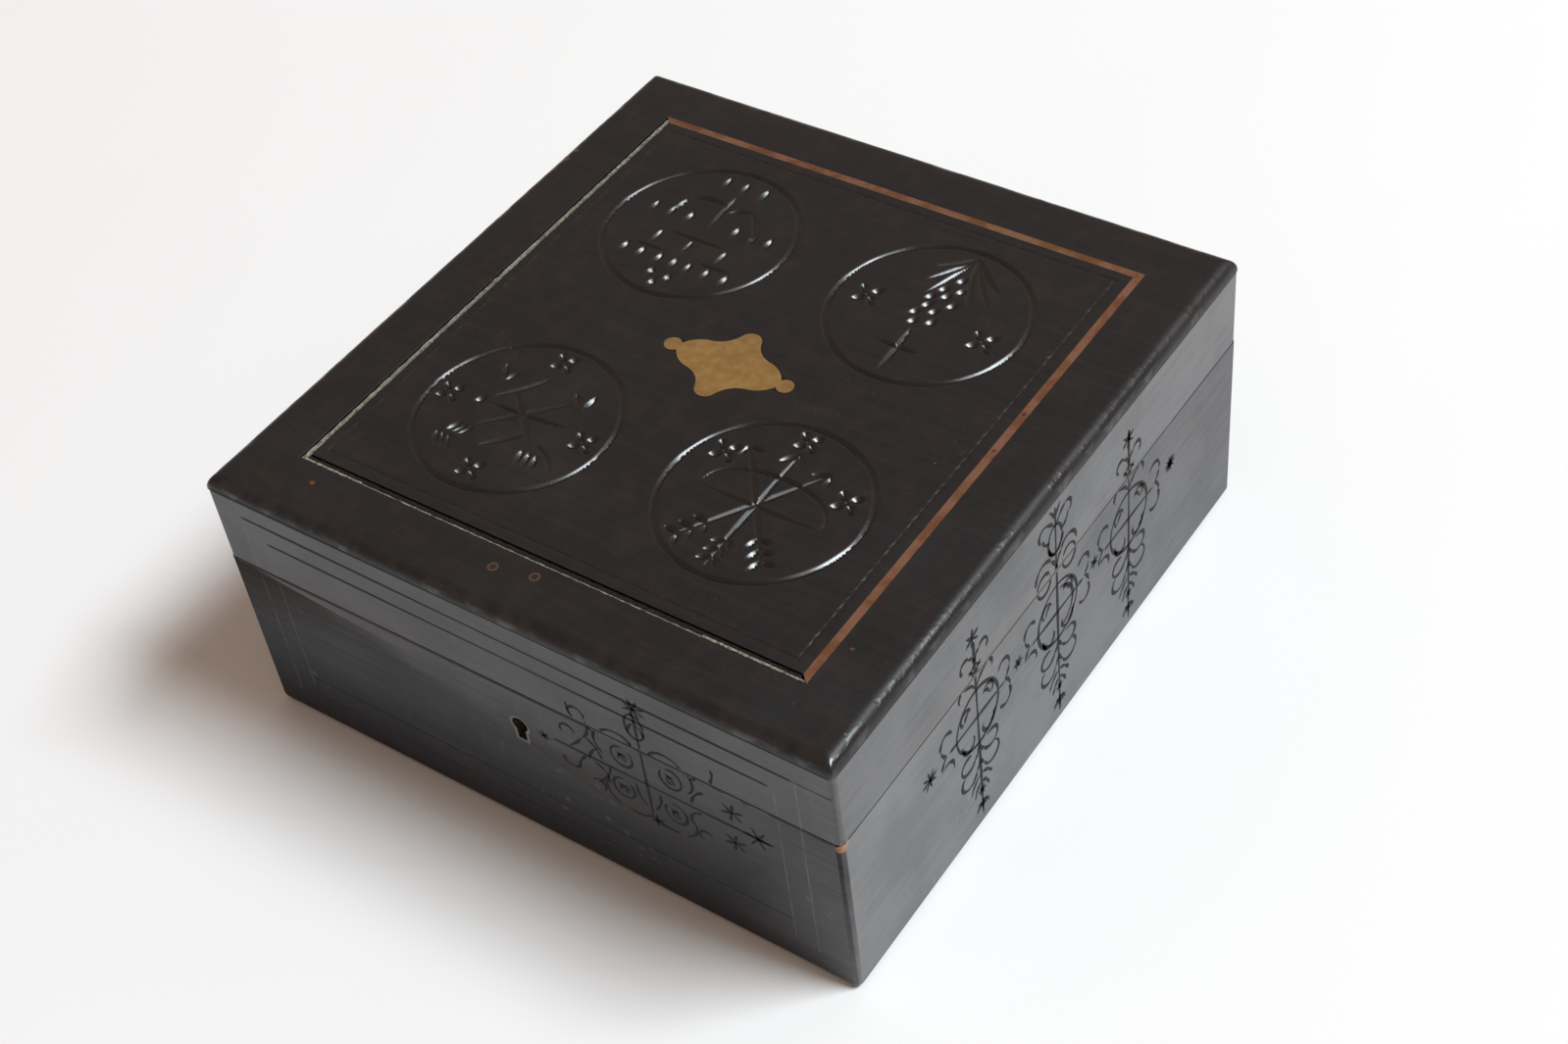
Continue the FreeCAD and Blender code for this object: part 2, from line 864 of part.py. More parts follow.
def inlay_corners():
    """Outline of the brass plate: lobed tips left and right, crowns front and back, hollow flanks."""
    half_x = size.plate_length / 2
    half_y = size.plate_width / 2
    lobe, crown = size.plate_lobe, size.plate_crown
    quarter = [
        (half_x - NECK_SHARE[0] * lobe, NECK_SHARE[1] * lobe),
        (SHOULDER_SHARE[0] * half_x, SHOULDER_SHARE[1] * half_y),
        (CROWN_SHARE[0] * crown, half_y - CROWN_SHARE[1] * crown),
    ]
    corners = [(half_x, as_size(0))]
    corners += quarter
    corners.append((as_size(0), half_y))
    corners += [(-x, y) for x, y in reversed(quarter)]
    corners.append((-half_x, as_size(0)))
    corners += [(-x, -y) for x, y in quarter]
    corners.append((as_size(0), -half_y))
    corners += [(x, -y) for x, y in reversed(quarter)]
    run = [(lobe, 1), (SWELL_SHARE * half_x, 1), (HOLLOW_SHARE * half_x, -1), (crown, 1)]
    bends = dict(enumerate((run + run[::-1]) * 2))
    return [(inlay_x + x, inlay_y + y) for x, y in corners], bends


def string_strip(label, side):
    """One inlaid string, mitred at both ends."""
    low, high = lid_top - size.string_depth, lid_top
    across = (string_edges.right - string_edges.left) / 2
    along = (string_edges.back - string_edges.front) / 2
    angle, turned = turn_of(side)
    half_run, half_span = (along, across) if turned else (across, along)
    strip = doc.addObject("Part::Wedge", label)
    strip.Placement = Placement(Vector(), Rotation(Vector(0, 0, 1), angle))
    values = {
        "Ymin": -half_span,
        "Ymax": -(half_span - size.string_width),
        "Xmin": -half_run,
        "Xmax": half_run,
        "X2min": -(half_run - size.string_width),
        "X2max": half_run - size.string_width,
        "Zmin": low,
        "Z2min": low,
        "Zmax": high,
        "Z2max": high,
    }
    for prop, value in values.items():
        bind(strip, prop, value)
    place(strip, inlay_x, inlay_y, 0)
    piece(strip)


def peg_places():
    """Middles of the two pegs near the front edge, either side of the box's middle line."""
    right = size.peg_shift
    left = right - size.peg_spacing
    return [
        (left, size.peg_left_inset - lid_half_depth),
        (right, size.peg_right_inset - lid_half_depth),
    ]


def make_lid_panel(pegs):
    """Top board with rounded edges, the groove for the strings and the recess for the plate."""
    body = new_body("lid_panel_body")

    def draw_board(sketch):
        across = (-lid_half_width, lid_half_width)
        outline(sketch, oblong(across, (-lid_half_depth, lid_half_depth)))

    def draw_groove(sketch):
        edges = string_edges
        wide = size.string_width
        outline(sketch, oblong((edges.left, edges.right), (edges.front, edges.back)))
        inner_across = (edges.left + wide, edges.right - wide)
        inner_along = (edges.front + wide, edges.back - wide)
        outline(sketch, oblong(inner_across, inner_along))

    def draw_recess(sketch):
        outline(sketch, *inlay_corners())

    pad(body, "lid_board", "XY_Plane", lid_panel_bottom, lid_top, draw_board)
    round_edges(body, "lid_board_corners", size.corner_round, is_upright)
    round_edges(body, "lid_board_edges", size.top_round, at_height(lid_top))
    pocket(body, "string_groove", "XY_Plane", lid_top - size.string_depth, lid_top, draw_groove)
    pocket(body, "plate_recess", "XY_Plane", lid_top - size.plate_thick, lid_top, draw_recess)
    piece(cut("lid_top_panel", body, [pegs]))


def make_lid():
    """Mitred rim, top board, inlay and the two pegs."""
    peg_rods = [
        rod(f"lid_peg_{number}", size.peg_radius, size.top_board, "z", x, y, lid_panel_bottom)
        for number, (x, y) in enumerate(peg_places(), start=1)
    ]
    pegs = piece(group("lid_pegs", peg_rods))
    shape = (lid_half_width, lid_half_depth, lid_bottom, lid_panel_bottom)
    frame = ring("lid_ring", *shape)
    rails = {side: mitred_side(f"{side}_rail", frame, *shape, side) for side in SIDES}
    link_seat = block(
        "link_seat",
        around_lock(size.lock_width / 2 + size.fit_gap),
        (lock_front - size.fit_gap, inner_front + OVERCUT),
        (lid_bottom - OVERCUT, lid_bottom + size.lock_plate),
    )
    mortises = hinge_mortises("lid_mortise", lid_bottom - OVERCUT, lid_bottom + size.hinge_leaf)
    piece(cut("lid_front_rail", rails["front"], [link_seat]))
    piece(cut("lid_back_rail", rails["back"], mortises))
    for side in ("left", "right"):
        rails[side].Label = f"lid_{side}_rail"
        piece(rails[side])
    make_lid_panel(pegs)
    corners, bends = inlay_corners()
    piece(prism("inlay_plate", "XY_Plane", lid_top - size.plate_thick, lid_top, corners, bends))
    string_strip("string_back", "back")
    string_strip("string_right", "right")


# Tray

tray_bottom = size.ledge_top + size.seat_gap
tray_floor = tray_bottom + size.tray_base
tray_top = tray_bottom + size.tray_height
tray_half_width = inner_half_width - size.tray_play
tray_half_depth = inner_half_depth - size.tray_play
bay_half_width = tray_half_width - size.tray_wall
bay_half_depth = tray_half_depth - size.tray_wall
long_divider = (
    size.long_divider_x - size.divider_thick / 2,
    size.long_divider_x + size.divider_thick / 2,
)
cross_divider_y = bay_half_depth - size.cross_divider_inset
cross_divider = (
    cross_divider_y - size.divider_thick / 2,
    cross_divider_y + size.divider_thick / 2,
)
divider_top = tray_top - size.divider_drop
rest_left = bay_half_width - size.rest_length
small_brush_x = bay_half_width - size.small_brush_inset
large_brush_x = small_brush_x - size.brush_pitch


def tray_end(label, start, end):
    """Side board of the tray with a finger notch in its top edge."""
    corners = [
        (-bay_half_depth, tray_floor),
        (bay_half_depth, tray_floor),
        (bay_half_depth, tray_top),
        (size.notch_half, tray_top),
        (-size.notch_half, tray_top),
        (-bay_half_depth, tray_top),
    ]
    piece(prism(label, "YZ_Plane", start, end, corners, {3: (size.notch_radius, -1)}))


def brush_rest(label, middle):
    """Bar with a round saddle for each brush; the brush's axis lies above the bar's top."""
    top = tray_floor + size.rest_tall
    corners = [(rest_left, tray_floor), (bay_half_width, tray_floor), (bay_half_width, top)]
    bends = {}
    for x, radius in (
        (small_brush_x, size.small_brush_radius),
        (large_brush_x, size.large_brush_radius),
    ):
        notch = radius + size.seat_gap
        bends[len(corners)] = (notch, -1)
        corners += [(x + size.saddle_half * notch, top), (x - size.saddle_half * notch, top)]
    corners.append((rest_left, top))
    along = (middle - size.rest_thick / 2, middle + size.rest_thick / 2)
    piece(prism(label, "XZ_Plane", *along, corners, bends))


def make_tray():
    """Base, four boards, two dividers and two brush rests."""
    walls_up = (tray_floor, tray_top)
    across = (-tray_half_width, tray_half_width)
    along = (-tray_half_depth, tray_half_depth)
    piece(block("tray_base", across, along, (tray_bottom, tray_floor)))
    piece(block("tray_front", across, (-tray_half_depth, -bay_half_depth), walls_up))
    piece(block("tray_back", across, (bay_half_depth, tray_half_depth), walls_up))
    tray_end("tray_left", -tray_half_width, -bay_half_width)
    tray_end("tray_right", bay_half_width, tray_half_width)
    dividers_up = (tray_floor, divider_top)
    cross_across = (-bay_half_width, long_divider[0])
    piece(block("tray_divider_long", long_divider, (-bay_half_depth, bay_half_depth), dividers_up))
    piece(block("tray_divider_cross", cross_across, cross_divider, dividers_up))
    brush_rest("brush_rest_front", size.rest_front_inset - bay_half_depth)
    brush_rest("brush_rest_back", bay_half_depth - size.rest_back_inset)


# What the tray holds

content_bottom = tray_floor + size.seat_gap


def inset(span, margin):
    """A span less a margin at both ends."""
    return (span[0] + margin, span[1] - margin)


def middle_of(span):
    """Value halfway along a span."""
    return (span[0] + span[1]) / 2


left_bay = (-bay_half_width, long_divider[0])


def slab(label, across, along, top):
    """Body that stands in the tray, a rectangle on plan."""
    body = new_body(label)

    def draw(sketch):
        outline(sketch, oblong(across, along))

    pad(body, label + "_block", "XY_Plane", content_bottom, top, draw)
    return body


def make_ink_stone():
    """Stone with a raised rim; its rubbing face runs down into a well at the back."""
    across = inset(left_bay, size.stone_margin)
    along = inset((-bay_half_depth, cross_divider[0]), size.stone_margin)
    top = content_bottom + size.stone_tall
    body = slab("ink_stone", across, along, top)
    round_edges(body, "stone_corners", size.stone_round, is_upright)
    land = top - size.stone_land
    well = top - size.stone_well
    front, back = inset(along, size.stone_rim)
    profile = [
        (front, top),
        (front, land),
        (back - size.stone_well_length, land - size.stone_fall),
        (back - size.stone_well_length / 2, well),
        (back, well),
        (back, top),
    ]

    def draw_face(sketch):
        outline(sketch, profile)

    pocket(body, "stone_face", "YZ_Plane", *inset(across, size.stone_rim), draw_face)
    piece(body)


def make_water_dropper():
    """Low rounded dropper with an air hole and a pouring hole in its top."""
    across = inset(left_bay, size.dropper_end_margin)
    along = inset((cross_divider[1], bay_half_depth), size.dropper_margin)
    top = content_bottom + size.dropper_tall
    body = slab("water_dropper", across, along, top)
    round_edges(body, "dropper_corners", size.dropper_round, is_upright)
    round_edges(body, "dropper_top", size.dropper_round, at_height(top))
    middle_y = middle_of(along)

    def draw_holes(sketch):
        circle(sketch, size.dropper_hole, (middle_of(across), middle_y))
        circle(sketch, size.dropper_hole, (across[1] - size.dropper_spout, middle_y))

    hole_bottom = content_bottom + size.dropper_tall / 2
    pocket(body, "dropper_holes", "XY_Plane", hole_bottom, top, draw_holes)
    piece(body)


def make_ink_stick():
    """Flat bar of pressed ink with its long edges rounded, between the divider and the rests."""
    across = inset((long_divider[1], rest_left), size.stick_margin)
    along = (-size.stick_length / 2, size.stick_length / 2)
    body = slab("ink_stick", across, along, content_bottom + size.stick_tall)
    round_edges(body, "stick_edges", size.stick_edge, runs_along_y)
    piece(body)


def make_brush(name, x, radius, hair, tip_gap):
    """Bamboo handle with a socket, and the tuft of hair glued into it; it lies along Y."""
    z = tray_floor + size.rest_tall + size.saddle_rise * (radius + size.seat_gap)
    start = size.brush_butt_gap - bay_half_depth
    handle = bay_half_depth - tip_gap - hair - start
    socket = radius - size.brush_wall
    floor = handle - size.hair_root
    handle_corners = [
        (GROUND, GROUND),
        (radius - size.brush_butt_bevel, GROUND),
        (radius, size.brush_butt_bevel),
        (radius, handle),
        (socket, handle),
        (socket, floor),
        (GROUND, floor),
    ]
    hair_corners = [(GROUND, floor), (socket, floor), (socket, handle)]
    hair_corners += [(wide * radius, handle + share * hair) for share, wide in HAIR_SHAPE]
    hair_corners += [(size.hair_tip, handle + hair), (GROUND, handle + hair)]
    piece(spindle(f"{name}_handle", handle_corners, x, start, z))
    piece(spindle(f"{name}_hair", hair_corners, x, start, z))


def make_contents():
    """Stone, dropper, stick and two brushes."""
    make_ink_stone()
    make_water_dropper()
    make_ink_stick()
    make_brush(
        "brush_large",
        large_brush_x,
        size.large_brush_radius,
        size.large_brush_hair,
        size.large_tip_gap,
    )
    make_brush(
        "brush_small",
        small_brush_x,
        size.small_brush_radius,
        size.small_brush_hair,
        size.small_tip_gap,
    )


# Checks and output

def check_document():
    """Stop if any object failed or any sub-part has no valid shape."""
    for item in doc.Objects:
        if {"Invalid", "Error"} & set(item.State):
            raise RuntimeError(f"{item.Label} failed: {item.State}")
    for item in pieces:
        shape = item.Shape
        if shape.isNull() or not shape.isValid() or not shape.Solids:
            raise RuntimeError(f"{item.Label} has no valid shape")


def write_pieces():
    """One STEP file for each sub-part."""
    os.makedirs("parts", exist_ok=True)
    for item in pieces:
        solids = item.Shape.Solids
        shape = solids[0] if len(solids) == 1 else Part.makeCompound(solids)
        shape.exportStep(f"parts/{item.Label}.step")
        print(item.Label, len(solids), round(shape.Volume, 2))


make_box_sides()
make_ledges()
make_keyhole_liner()
make_lock_plates()
make_bolt()
make_lock_spring()
make_lid()
make_link()
make_hinges()
make_tray()
make_contents()
doc.recompute()
check_document()
write_pieces()
print(len(pieces), "sub-parts")
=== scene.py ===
import math

import bmesh
import bpy
import numpy as np
from mathutils import Euler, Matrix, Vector


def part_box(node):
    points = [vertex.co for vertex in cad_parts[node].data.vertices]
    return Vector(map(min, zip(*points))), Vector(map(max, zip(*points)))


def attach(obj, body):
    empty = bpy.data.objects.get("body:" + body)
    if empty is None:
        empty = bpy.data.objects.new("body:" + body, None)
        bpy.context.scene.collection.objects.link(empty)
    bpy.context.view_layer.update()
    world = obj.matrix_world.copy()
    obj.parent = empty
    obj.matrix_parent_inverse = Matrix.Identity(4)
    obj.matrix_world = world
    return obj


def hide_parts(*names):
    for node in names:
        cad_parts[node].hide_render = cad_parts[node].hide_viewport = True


bl_info = {
    "name": "Ebonised ink box",
    "version": (1, 0, 0),
    "blender": (4, 5, 0),
    "location": "3D View > Sidebar > Ink box",
    "description": "Carved and painted dress for a hinged ink box, laid over its packed solids",
    "category": "Object",
}

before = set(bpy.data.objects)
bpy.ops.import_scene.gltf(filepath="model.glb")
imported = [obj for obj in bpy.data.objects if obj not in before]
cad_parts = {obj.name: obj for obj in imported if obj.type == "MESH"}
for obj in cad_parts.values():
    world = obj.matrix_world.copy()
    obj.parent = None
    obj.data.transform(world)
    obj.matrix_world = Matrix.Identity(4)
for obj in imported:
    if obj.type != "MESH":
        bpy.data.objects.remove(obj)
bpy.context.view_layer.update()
MM = 0.001


def span_mm(node):
    """Lowest and highest corner of a node, in millimetres."""
    low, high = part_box(node)
    return np.array(low) / MM, np.array(high) / MM


# Places read from the solids, in millimetres

PANEL_LOW, PANEL_HIGH = span_mm("lid_top_panel")
BODY_LOW = np.array([span_mm("left_wall")[0][0], span_mm("front_wall")[0][1], 0.0])
BODY_HIGH = np.array([span_mm("right_wall")[1][0], span_mm("back_wall")[1][1], span_mm("left_wall")[1][2]])
LID_LOW_Z = span_mm("lid_left_rail")[0][2]
STRING_BACK_LOW, STRING_BACK_HIGH = span_mm("string_back")
STRING_RIGHT_LOW, STRING_RIGHT_HIGH = span_mm("string_right")
GROOVE_WIDE = STRING_RIGHT_HIGH[0] - STRING_RIGHT_LOW[0]
GROOVE = np.array([[STRING_BACK_LOW[0], STRING_RIGHT_LOW[1]], [STRING_RIGHT_HIGH[0], STRING_BACK_HIGH[1]]])
FIELD = GROOVE + GROOVE_WIDE * np.array([[1, 1], [-1, -1]])
GROOVE_FLOOR = STRING_RIGHT_LOW[2]
TOP = PANEL_HIGH[2]
# pegs, strings and plate stand this much above the wood that has shrunk round them
PROUD = 0.03


# Settings that a user would change

class LidSettings(bpy.types.PropertyGroup):
    """Sizes of the lid's carving and colours of its finish."""
    roundel_radius: bpy.props.FloatProperty(
        name="Roundel radius", description="Radius of the four carved rings", default=0.0228, unit="LENGTH")
    ring_width: bpy.props.FloatProperty(
        name="Ring width", description="Width of a carved ring", default=0.0015, unit="LENGTH")
    cut_depth: bpy.props.FloatProperty(
        name="Cut depth", description="Deepest that a gouge cut may go", default=0.0009, unit="LENGTH")
    grid_pitch: bpy.props.FloatProperty(
        name="Carving pitch", description="Distance between the carving's mesh lines",
        default=0.00022, unit="LENGTH")
    top_round: bpy.props.FloatProperty(
        name="Edge round", description="Rounding of the top board's edge", default=0.0032, unit="LENGTH")
    lid_brown: bpy.props.FloatVectorProperty(
        name="Lid brown", description="Brown that shows through the black on the lid",
        default=(0.030, 0.018, 0.012), subtype="COLOR")
    filler_cream: bpy.props.FloatVectorProperty(
        name="Old filler", description="Chalky filler left in the empty grooves",
        default=(0.31, 0.285, 0.23), subtype="COLOR")


class BodySettings(bpy.types.PropertyGroup):
    """Colours of the body and widths of its painted lines."""
    black: bpy.props.FloatVectorProperty(
        name="Stain black", description="Black stain of the outside",
        default=(0.0100, 0.0125, 0.0180), subtype="COLOR")
    raw_wood: bpy.props.FloatVectorProperty(
        name="Raw wood", description="Wood that shows at the chips",
        default=(0.40, 0.185, 0.095), subtype="COLOR")
    inner_wood: bpy.props.FloatVectorProperty(
        name="Inner wood", description="Plain wood inside the box",
        default=(0.26, 0.13, 0.065), subtype="COLOR")
    scroll_width: bpy.props.FloatProperty(
        name="Scroll line", description="Width of the painted scroll lines", default=0.00085, unit="LENGTH")
    paint_film: bpy.props.FloatProperty(
        name="Paint film", description="Thickness of the painted lines", default=0.00003, unit="LENGTH")


class ContentsSettings(bpy.types.PropertyGroup):
    """Colours of what the tray holds."""
    glaze: bpy.props.FloatVectorProperty(
        name="Glaze", description="Pale green glaze of the water dropper",
        default=(0.50, 0.58, 0.52), subtype="COLOR")
    hair: bpy.props.FloatVectorProperty(
        name="Hair", description="Brown hair of the brushes", default=(0.36, 0.22, 0.12), subtype="COLOR")


class StageSettings(bpy.types.PropertyGroup):
    """Floor, light and camera."""
    floor_colour: bpy.props.FloatVectorProperty(
        name="Floor", description="Pale cloth under the box", default=(0.82, 0.82, 0.82), subtype="COLOR")
    focal_length: bpy.props.FloatProperty(
        name="Focal length", description="Focal length of the camera in millimetres", default=55.389)
    key_power: bpy.props.FloatProperty(
        name="Window light", description="Power of the large soft light in watts", default=190.0)
    sky_level: bpy.props.FloatProperty(
        name="Room light", description="Strength of the even light from all round", default=0.34)


def chosen(part):
    """Settings of one part of the object: lid, body, contents or stage."""
    return getattr(bpy.context.scene, "ink_box_" + part)


# Mesh helpers

def grid_quads(rows, columns, ring_rows=False, ring_columns=False):
    """Quads between neighbouring points of a grid that is stored row by row."""
    row = np.arange(rows if ring_rows else rows - 1)
    column = np.arange(columns if ring_columns else columns - 1)
    row, column = np.meshgrid(row, column, indexing="ij")
    below, beside = (row + 1) % rows, (column + 1) % columns
    corners = [row * columns + column, row * columns + beside,
               below * columns + beside, below * columns + column]
    return np.stack(corners, -1).reshape(-1, 4)


def smooth_object(name, mesh, sharp):
    """Object of a mesh, shaded smooth except at edges sharper than an angle in degrees."""
    mesh.shade_smooth()
    mesh.set_sharp_from_angle(angle=math.radians(sharp))
    made = bpy.data.objects.new(name, mesh)
    bpy.context.scene.collection.objects.link(made)
    return made


def set_values(mesh, label, numbers):
    """Named number for each point of a mesh."""
    attribute = mesh.attributes.new(label, "FLOAT", "POINT")
    attribute.data.foreach_set("value", np.asarray(numbers, np.float32).ravel())


def build(name, points, faces, values=None, sharp=35.0):
    """Mesh object from points in millimetres and arrays of faces; values are named numbers per point."""
    mesh = bpy.data.meshes.new(name)
    points = np.asarray(points, float).reshape(-1, 3)
    mesh.vertices.add(len(points))
    mesh.vertices.foreach_set("co", (points * MM).astype(np.float32).ravel())
    loops = np.concatenate([np.asarray(part).ravel() for part in faces]).astype(np.int32)
    counts = np.concatenate([np.full(len(part), np.asarray(part).shape[1]) for part in faces])
    starts = np.concatenate([[0], np.cumsum(counts)[:-1]]).astype(np.int32)
    mesh.loops.add(len(loops))
    mesh.loops.foreach_set("vertex_index", loops)
    mesh.polygons.add(len(counts))
    mesh.polygons.foreach_set("loop_start", starts)
    mesh.update(calc_edges=True)
    for label, numbers in (values or {}).items():
        set_values(mesh, label, numbers)
    shell = bmesh.new()
    shell.from_mesh(mesh)
    bmesh.ops.recalc_face_normals(shell, faces=shell.faces)
    shell.to_mesh(mesh)
    shell.free()
    return smooth_object(name, mesh, sharp)


def give(piece, body, finish, replaced=()):
    """Finish of a new piece: its body, its material and the nodes it stands for."""
    piece.data.materials.clear()
    piece.data.materials.append(MATERIALS[finish])
    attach(piece, body)
    if replaced:
        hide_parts(*replaced)


def paint_node(node, finish):
    """Material for a solid that stays as it is."""
    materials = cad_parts[node].data.materials
    if not materials:
        materials.append(MATERIALS[finish])
    for index in range(len(materials)):
        materials[index] = MATERIALS[finish]


def resample(path, step):
    """Points an even step apart along a run of points."""
    path = np.asarray(path, float)
    lengths = np.linalg.norm(np.diff(path, axis=0), axis=1)
    along = np.concatenate([[0], np.cumsum(lengths)])
    count = max(3, int(math.ceil(along[-1] / step)) + 1)
    wanted = np.linspace(0, along[-1], count)
    return np.stack([np.interp(wanted, along, path[:, axis]) for axis in range(path.shape[1])], -1)


# width of a raised strip's top as a share of its foot's
TOP_SHARE = 0.8


def ribbons(name, strokes, lift, place, keep=None):
    """Thin raised strips: each stroke is a flat path and its half widths, with its two edges set off
    square to the path, given a film's thickness and closed at both ends. place turns flat points and
    a height into points in space; keep tells which of the flat points stay."""
    points, quads, count = [], [], 0
    for path, half in strokes:
        ahead = np.gradient(path, axis=0)
        ahead /= np.maximum(np.linalg.norm(ahead, axis=1, keepdims=True), 1e-9)
        side = np.stack([-ahead[:, 1], ahead[:, 0]], -1) * np.asarray(half)[:, None]
        inside = np.ones(len(path), bool) if keep is None else keep(path)
        edges = np.flatnonzero(np.diff(np.concatenate([[0], inside.astype(int), [0]])))
        for first, last in zip(edges[::2], edges[1::2]):
            if last - first < 3:
                continue
            middle, off = path[first:last], side[first:last]
            rows = [place(middle + off * share, height) for share, height in
                    ((1, 0), (TOP_SHARE, lift), (-TOP_SHARE, lift), (-1, 0))]
            points.append(np.stack(rows, 1).reshape(-1, 3))
            quads.append(grid_quads(last - first, 4, ring_columns=True) + count)
            ends = np.array([[0, 1, 2, 3], [3, 2, 1, 0]]) + np.array([[0], [(last - first - 1) * 4]])
            quads.append(ends + count)
            count += (last - first) * 4
    return build(name, np.concatenate(points), quads)


def lathe(name, profile, place, ribs, ruffle=None):
    """Turned surface: profile is rows of distance along the axis and radius, swept once round it.
    ruffle changes the radius by angle and distance. The first and last rows close to points."""
    profile = np.asarray(profile, float)
    angle = np.linspace(0, 2 * np.pi, ribs, endpoint=False)
    along, radius = profile[:, :1], profile[:, 1:]
    reach = radius * np.ones(ribs)
    if ruffle is not None:
        reach = reach * ruffle(angle[None, :], along)
    points = np.stack([reach * np.cos(angle), along * np.ones(ribs), reach * np.sin(angle)], -1)
    last = (len(profile) - 1) * ribs
    ring = np.arange(ribs)
    poles = np.array([[0, profile[0, 0], 0], [0, profile[-1, 0], 0]])
    points = np.concatenate([points.reshape(-1, 3), poles]) + np.asarray(place)
    count = len(profile) * ribs
    caps = np.concatenate([
        np.stack([ring, (ring + 1) % ribs, np.full(ribs, count)], -1),
        np.stack([last + ring, last + (ring + 1) % ribs, np.full(ribs, count + 1)], -1),
    ])
    return build(name, points, [grid_quads(len(profile), ribs, ring_columns=True), caps])


# Shader helpers

class Wire:
    """Output of a shader node. Sums and products of such outputs are nodes too."""

    def __init__(self, socket):
        self.socket = socket

    def __add__(self, other):
        return maths("ADD", self, other)

    def __sub__(self, other):
        return maths("SUBTRACT", self, other)

    def __rsub__(self, other):
        return maths("SUBTRACT", other, self)

    def __mul__(self, other):
        return maths("MULTIPLY", self, other)

    def __truediv__(self, other):
        return maths("DIVIDE", self, other)


class Outputs:
    """Shader node whose outputs are read in square brackets."""

    def __init__(self, node):
        self.node = node

    def __getitem__(self, label):
        return Wire(self.node.outputs[label])


def join(value, socket):
    """Link an output to an input, or set the input to a plain value."""
    if isinstance(value, Wire):
        socket.id_data.links.new(value.socket, socket)
    else:
        socket.default_value = value


def add(kind, *values, tree=None, settings=None, **named):
    """Shader node with its settings, and its inputs given in order or by name."""
    inputs = {**dict(enumerate(values)), **{label.replace("_", " "): value for label, value in named.items()}}
    if tree is None:
        tree = next(value.socket.id_data for value in inputs.values() if isinstance(value, Wire))
    node = tree.nodes.new("ShaderNode" + kind)
    for label, value in (settings or {}).items():
        setattr(node, label, value)
    for label, value in inputs.items():
        join(value, node.inputs[label])
    return Outputs(node)


def maths(operation, *values, clamp=False):
    """Result of one arithmetic step."""
    return add("Math", *values, settings={"operation": operation, "use_clamp": clamp})[0]


def vector_maths(operation, *values):
    """Node for one step with vectors."""
    return add("VectorMath", *values, settings={"operation": operation})


def distance(place, point):
    """Distance of each place from a point."""
    return vector_maths("DISTANCE", place, point)["Value"]


def split(vector):
    """Three parts of a vector."""
    parts = add("SeparateXYZ", vector)
    return parts[0], parts[1], parts[2]


def turned(place, angles):
    """Coordinates turned so that the grain runs another way."""
    return add("VectorRotate", settings={"rotation_type": "EULER_XYZ"}, Vector=place, Rotation=angles)[0]


def ramp(value, low, high, start=0.0, end=1.0):
    """Smooth step between two values."""
    return add("MapRange", value, low, high, start, end, settings={"interpolation_type": "SMOOTHSTEP"})[0]


def mix(share, first, second):
    """Two colours mixed by a share."""
    mixed = add("Mix", share, settings={"data_type": "RGBA"})
    for index, colour in ((6, first), (7, second)):
        join(colour if isinstance(colour, Wire) else (*tuple(colour)[:3], 1.0), mixed.node.inputs[index])
    return mixed[2]


def layers(tone, *steps):
    """Colours laid one after the other over a first one, each by its share."""
    for share, colour in steps:
        tone = mix(share, tone, colour)
    return tone


def shade(colour, factor):
    """Colour made darker or lighter by a factor."""
    return [min(1.0, part * factor) for part in colour]


def noise(place, scale, detail=3.0, rough=0.55, stretch=None):
    """Cloudy noise from 0 to 1."""
    if stretch is not None:
        place = vector_maths("MULTIPLY", place, stretch)[0]
    return add("TexNoise", Vector=place, Scale=scale, Detail=detail, Roughness=rough)["Fac"]


def make_group(name, inputs, work):
    """Shader group: its named inputs are numbers, or vectors where no number is given, and work turns them
    into its outputs, which are numbers."""
    tree = bpy.data.node_groups.new(name, "ShaderNodeTree")
    for label, value in inputs.items():
        kind = "NodeSocketVector" if value is None else "NodeSocketFloat"
        socket = tree.interface.new_socket(name=label, in_out="INPUT", socket_type=kind)
        if value is not None:
            socket.default_value = value
    given = Outputs(tree.nodes.new("NodeGroupInput"))
    results = work(*(given[label] for label in inputs))
    for label in results:
        tree.interface.new_socket(name=label, in_out="OUTPUT", socket_type="NodeSocketFloat")
    end = tree.nodes.new("NodeGroupOutput")
    for label, value in results.items():
        join(value, end.inputs[label])


def use_group(name, **inputs):
    """A shader group placed in a material."""
    return add("Group", settings={"node_tree": bpy.data.node_groups[name]}, **inputs)


class Finish:
    """Material in the making: its tree, its main shader and its object coordinates."""

    def __init__(self, name, **constants):
        self.material = bpy.data.materials.new(name)
        self.material.use_nodes = True
        self.tree = self.material.node_tree
        self.shader = self.tree.nodes["Principled BSDF"]
        for label, value in constants.items():
            join(value, self.shader.inputs[label.replace("_", " ")])
        self.place = Outputs(self.tree.nodes.new("ShaderNodeTexCoord"))["Object"]

    def attribute(self, name):
        """Number that the mesh holds at each point."""
        return add("Attribute", tree=self.tree, settings={"attribute_name": name})["Fac"]

    def done(self, tone, rough, height, relief, strength, **more):
        """Material with its colour, roughness, bump and any further inputs joined."""
        normal = add("Bump", Strength=strength, Distance=relief, Height=height)[0]
        for label, value in {"Base_Color": tone, "Roughness": rough, "Normal": normal, **more}.items():
            join(value, self.shader.inputs[label.replace("_", " ")])
        return self.material


# Shader groups

